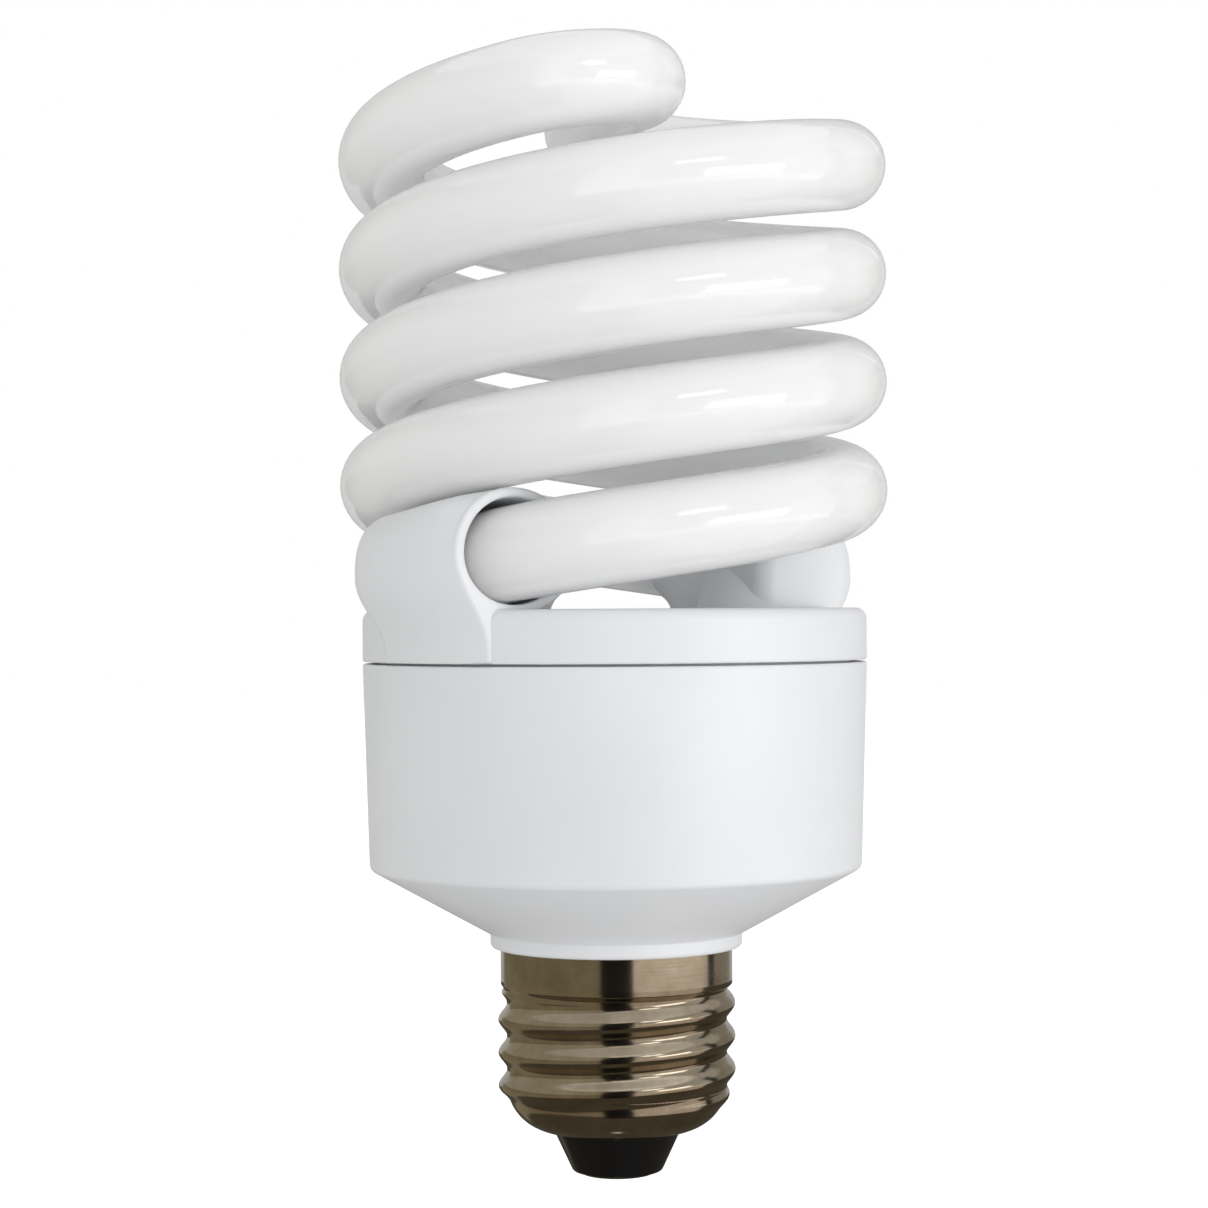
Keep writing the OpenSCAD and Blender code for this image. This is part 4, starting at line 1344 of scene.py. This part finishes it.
@dataclass
class Studio:
    """The white surround, the floor, the lamps and the screens that gloss and metal mirror.

    Lengths are in metres. The zenith and the horizon are how strongly the surround lights the lamp
    from above and from the side.
    """

    zenith: float = 0.62
    horizon: float = 0.92
    floor_z: float = -0.045
    floor_size: float = 6.0
    floor_lift: float = 0.48

    def surround(self) -> None:
        """Makes the world white to the eye and in mirrors, and as a light dimmer from above."""
        world = bpy.data.worlds.new("surround")
        bpy.context.scene.world = world
        world.use_nodes = True
        tree = world.node_tree
        tree.nodes.clear()
        path = add_node(tree, "ShaderNodeLightPath")
        seen = path.outputs["Is Camera Ray"]
        for name in ("Is Glossy Ray", "Is Transmission Ray"):
            links = {0: seen, 1: path.outputs[name]}
            seen = add_node(tree, "ShaderNodeMath", links, operation="MAXIMUM").outputs[0]
        direction = add_node(tree, "ShaderNodeTexCoord").outputs["Generated"]
        up = add_node(tree, "ShaderNodeSeparateXYZ", {"Vector": direction}).outputs["Z"]
        values = {"From Min": 0.0, "From Max": 1.0, "To Min": self.horizon, "To Max": self.zenith}
        level = add_node(tree, "ShaderNodeMapRange", {"Value": up}, values)
        soft = add_node(tree, "ShaderNodeBackground", {"Strength": level.outputs["Result"]})
        white = add_node(tree, "ShaderNodeBackground", values={"Strength": 1.0})
        for sky in (soft, white):
            sky.inputs["Color"].default_value = linear("#FFFFFF")
        links = {0: seen, 1: soft.outputs[0], 2: white.outputs[0]}
        mix = add_node(tree, "ShaderNodeMixShader", links)
        add_node(tree, "ShaderNodeOutputWorld", {"Surface": mix.outputs[0]})

    def floor(self) -> None:
        """Lays the pale floor, which keeps the lamp's shadow and looks white where it is lit."""
        mesh = bpy.data.meshes.new("floor")
        s, z = self.floor_size / 2, self.floor_z
        mesh.from_pydata([(-s, -s, z), (s, -s, z), (s, s, z), (-s, s, z)], [], [(0, 1, 2, 3)])
        made = bpy.data.materials.new("white_paper")
        made.use_nodes = True
        tree = made.node_tree
        shader = tree.nodes["Principled BSDF"]
        shader.inputs["Base Color"].default_value = linear("#FCFCFC")
        shader.inputs["Roughness"].default_value = 0.9
        shader.inputs["Specular IOR Level"].default_value = 0.0
        shader.inputs["Emission Color"].default_value = linear("#FFFFFF")
        path = add_node(tree, "ShaderNodeLightPath")
        links = {0: path.outputs["Is Camera Ray"], 1: path.outputs["Is Glossy Ray"]}
        seen = add_node(tree, "ShaderNodeMath", links, operation="MAXIMUM")
        links = {"Value": seen.outputs[0]}
        lift = add_node(tree, "ShaderNodeMapRange", links, {"To Max": self.floor_lift})
        tree.links.new(lift.outputs["Result"], shader.inputs["Emission Strength"])
        mesh.materials.append(made)
        floor = bpy.data.objects.new("floor", mesh)
        bpy.context.scene.collection.objects.link(floor)

    def build(self) -> None:
        """Sets the surround, the floor, the lamps and the screens."""
        self.surround()
        self.floor()
        # Heading, rise, distance, width, height, watts and the height that it faces
        lamps = (
            Softbox("key_lamp", 48, 3, 0.8, 0.5, 0.5, 1.0),
            Softbox("low_fill", -35, -2, 0.7, 0.5, 0.1, 0.2),
            Softbox("low_front", 58, -2, 0.6, 0.5, 0.1, 0.55, 0.03),
        )
        # First and last heading, low and high edge, radius, brightness and colour
        screens = (
            Screen("window_low", 38, 74, 0.03, 0.22, 0.75, 2.9),
            Screen("window_high", 24, 46, 0.44, 0.58, 0.75, 3.2),
            Screen("right_grey", 14, 150, -0.003, 0.8, 0.8, 0.5),
            Screen("low_right", 16, 99, -0.034, -0.003, 0.4, 0.98, "#F6F0EC"),
            Screen("camera_flag", -14, 14, -0.0355, 0.05, 0.05, 0.01),
            Screen("left_low", -150, -12, -0.034, 0.08, 0.4, 0.26, "#F4EECC"),
            Screen("left_high", -150, -12, 0.08, 0.5, 0.4, 0.42, "#F6F2E0"),
            Screen("right_line", 100, 111, -0.034, 0.3, 0.4, 0.03),
            Screen("right_side", 111, 150, -0.034, 0.2, 0.4, 0.36, "#F2ECE4"),
            Screen("rear_side", 150, 215, -0.034, 0.5, 0.4, 0.5),
        )
        for piece in lamps + screens:
            piece.build()
        # The same, and the radius where the flat screen starts
        grounds = (
            (Screen("ground", 0, 360, -0.036, -0.036, 0.41, 0.12, "#D8CDB4"), 0.002),
            (Screen("ground_right", 16, 93, -0.035, -0.035, 0.41, 0.7, "#F0E4DC"), 0.07),
            (Screen("ground_left", -150, -14, -0.035, -0.035, 0.41, 0.3, "#F0E4C8"), 0.07),
        )
        for ground, inner in grounds:
            ground.lay(inner)
        LOG.info("studio: %d lamps, %d screens", len(lamps), len(screens) + len(grounds))


@dataclass
class Viewpoint:
    """The camera.

    The image is in pixels, and the scale is pixels for each mm at the lamp's axis. Its place is in
    mm and its roll in degrees.
    """

    image: float = 1208.0
    scale: float = 9.08
    distance: float = 312.0
    height: float = 61.6
    centre_x: float = 614.5
    horizon_y: float = 613.0
    roll: float = -0.328
    sensor: float = 36.0

    def build(self) -> None:
        """Adds the camera and makes it the scene's."""
        data = bpy.data.cameras.new("camera")
        data.sensor_width = self.sensor
        data.lens = self.sensor * self.distance * self.scale / self.image
        data.shift_x = (self.image / 2 - self.centre_x) / self.image
        data.shift_y = (self.horizon_y - self.image / 2) / self.image
        data.clip_start = 0.01
        camera = bpy.data.objects.new("camera", data)
        level = Matrix.Rotation(math.pi / 2, 4, "X")
        turn = level @ Matrix.Rotation(math.radians(self.roll), 4, "Z")
        camera.matrix_world = Matrix.Translation((0, -self.distance * MM, self.height * MM)) @ turn
        bpy.context.scene.collection.objects.link(camera)
        bpy.context.scene.camera = camera


def corners(box: tuple[Vector, Vector]) -> list[list[float]]:
    """Turns a box's two corners to plain lists of numbers."""
    return [list(corner) for corner in box]


def main() -> None:
    """Builds the lamp's pieces in order, then the studio and the camera."""
    logging.basicConfig(level=logging.INFO, format="%(name)s: %(message)s")
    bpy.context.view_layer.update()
    bpy.context.scene.view_settings.view_transform = "Standard"
    levels = Levels.from_frame()
    spiral = GlassSpiral(levels.cover_top)
    spiral.build()
    UpperCover(levels, spiral).build()
    LowerHousing(levels).build()
    cap = ScrewCap(levels)
    cap.shell()
    cap.insulator()
    cap.contact()
    parts = frame["record"]["subparts"]
    Ballast({p["node"]: p["material_slot"] for p in parts if p["node"] not in REPLACED}).dress()
    Viewpoint().build()
    Studio().build()


if __name__ == "__main__":
    main()
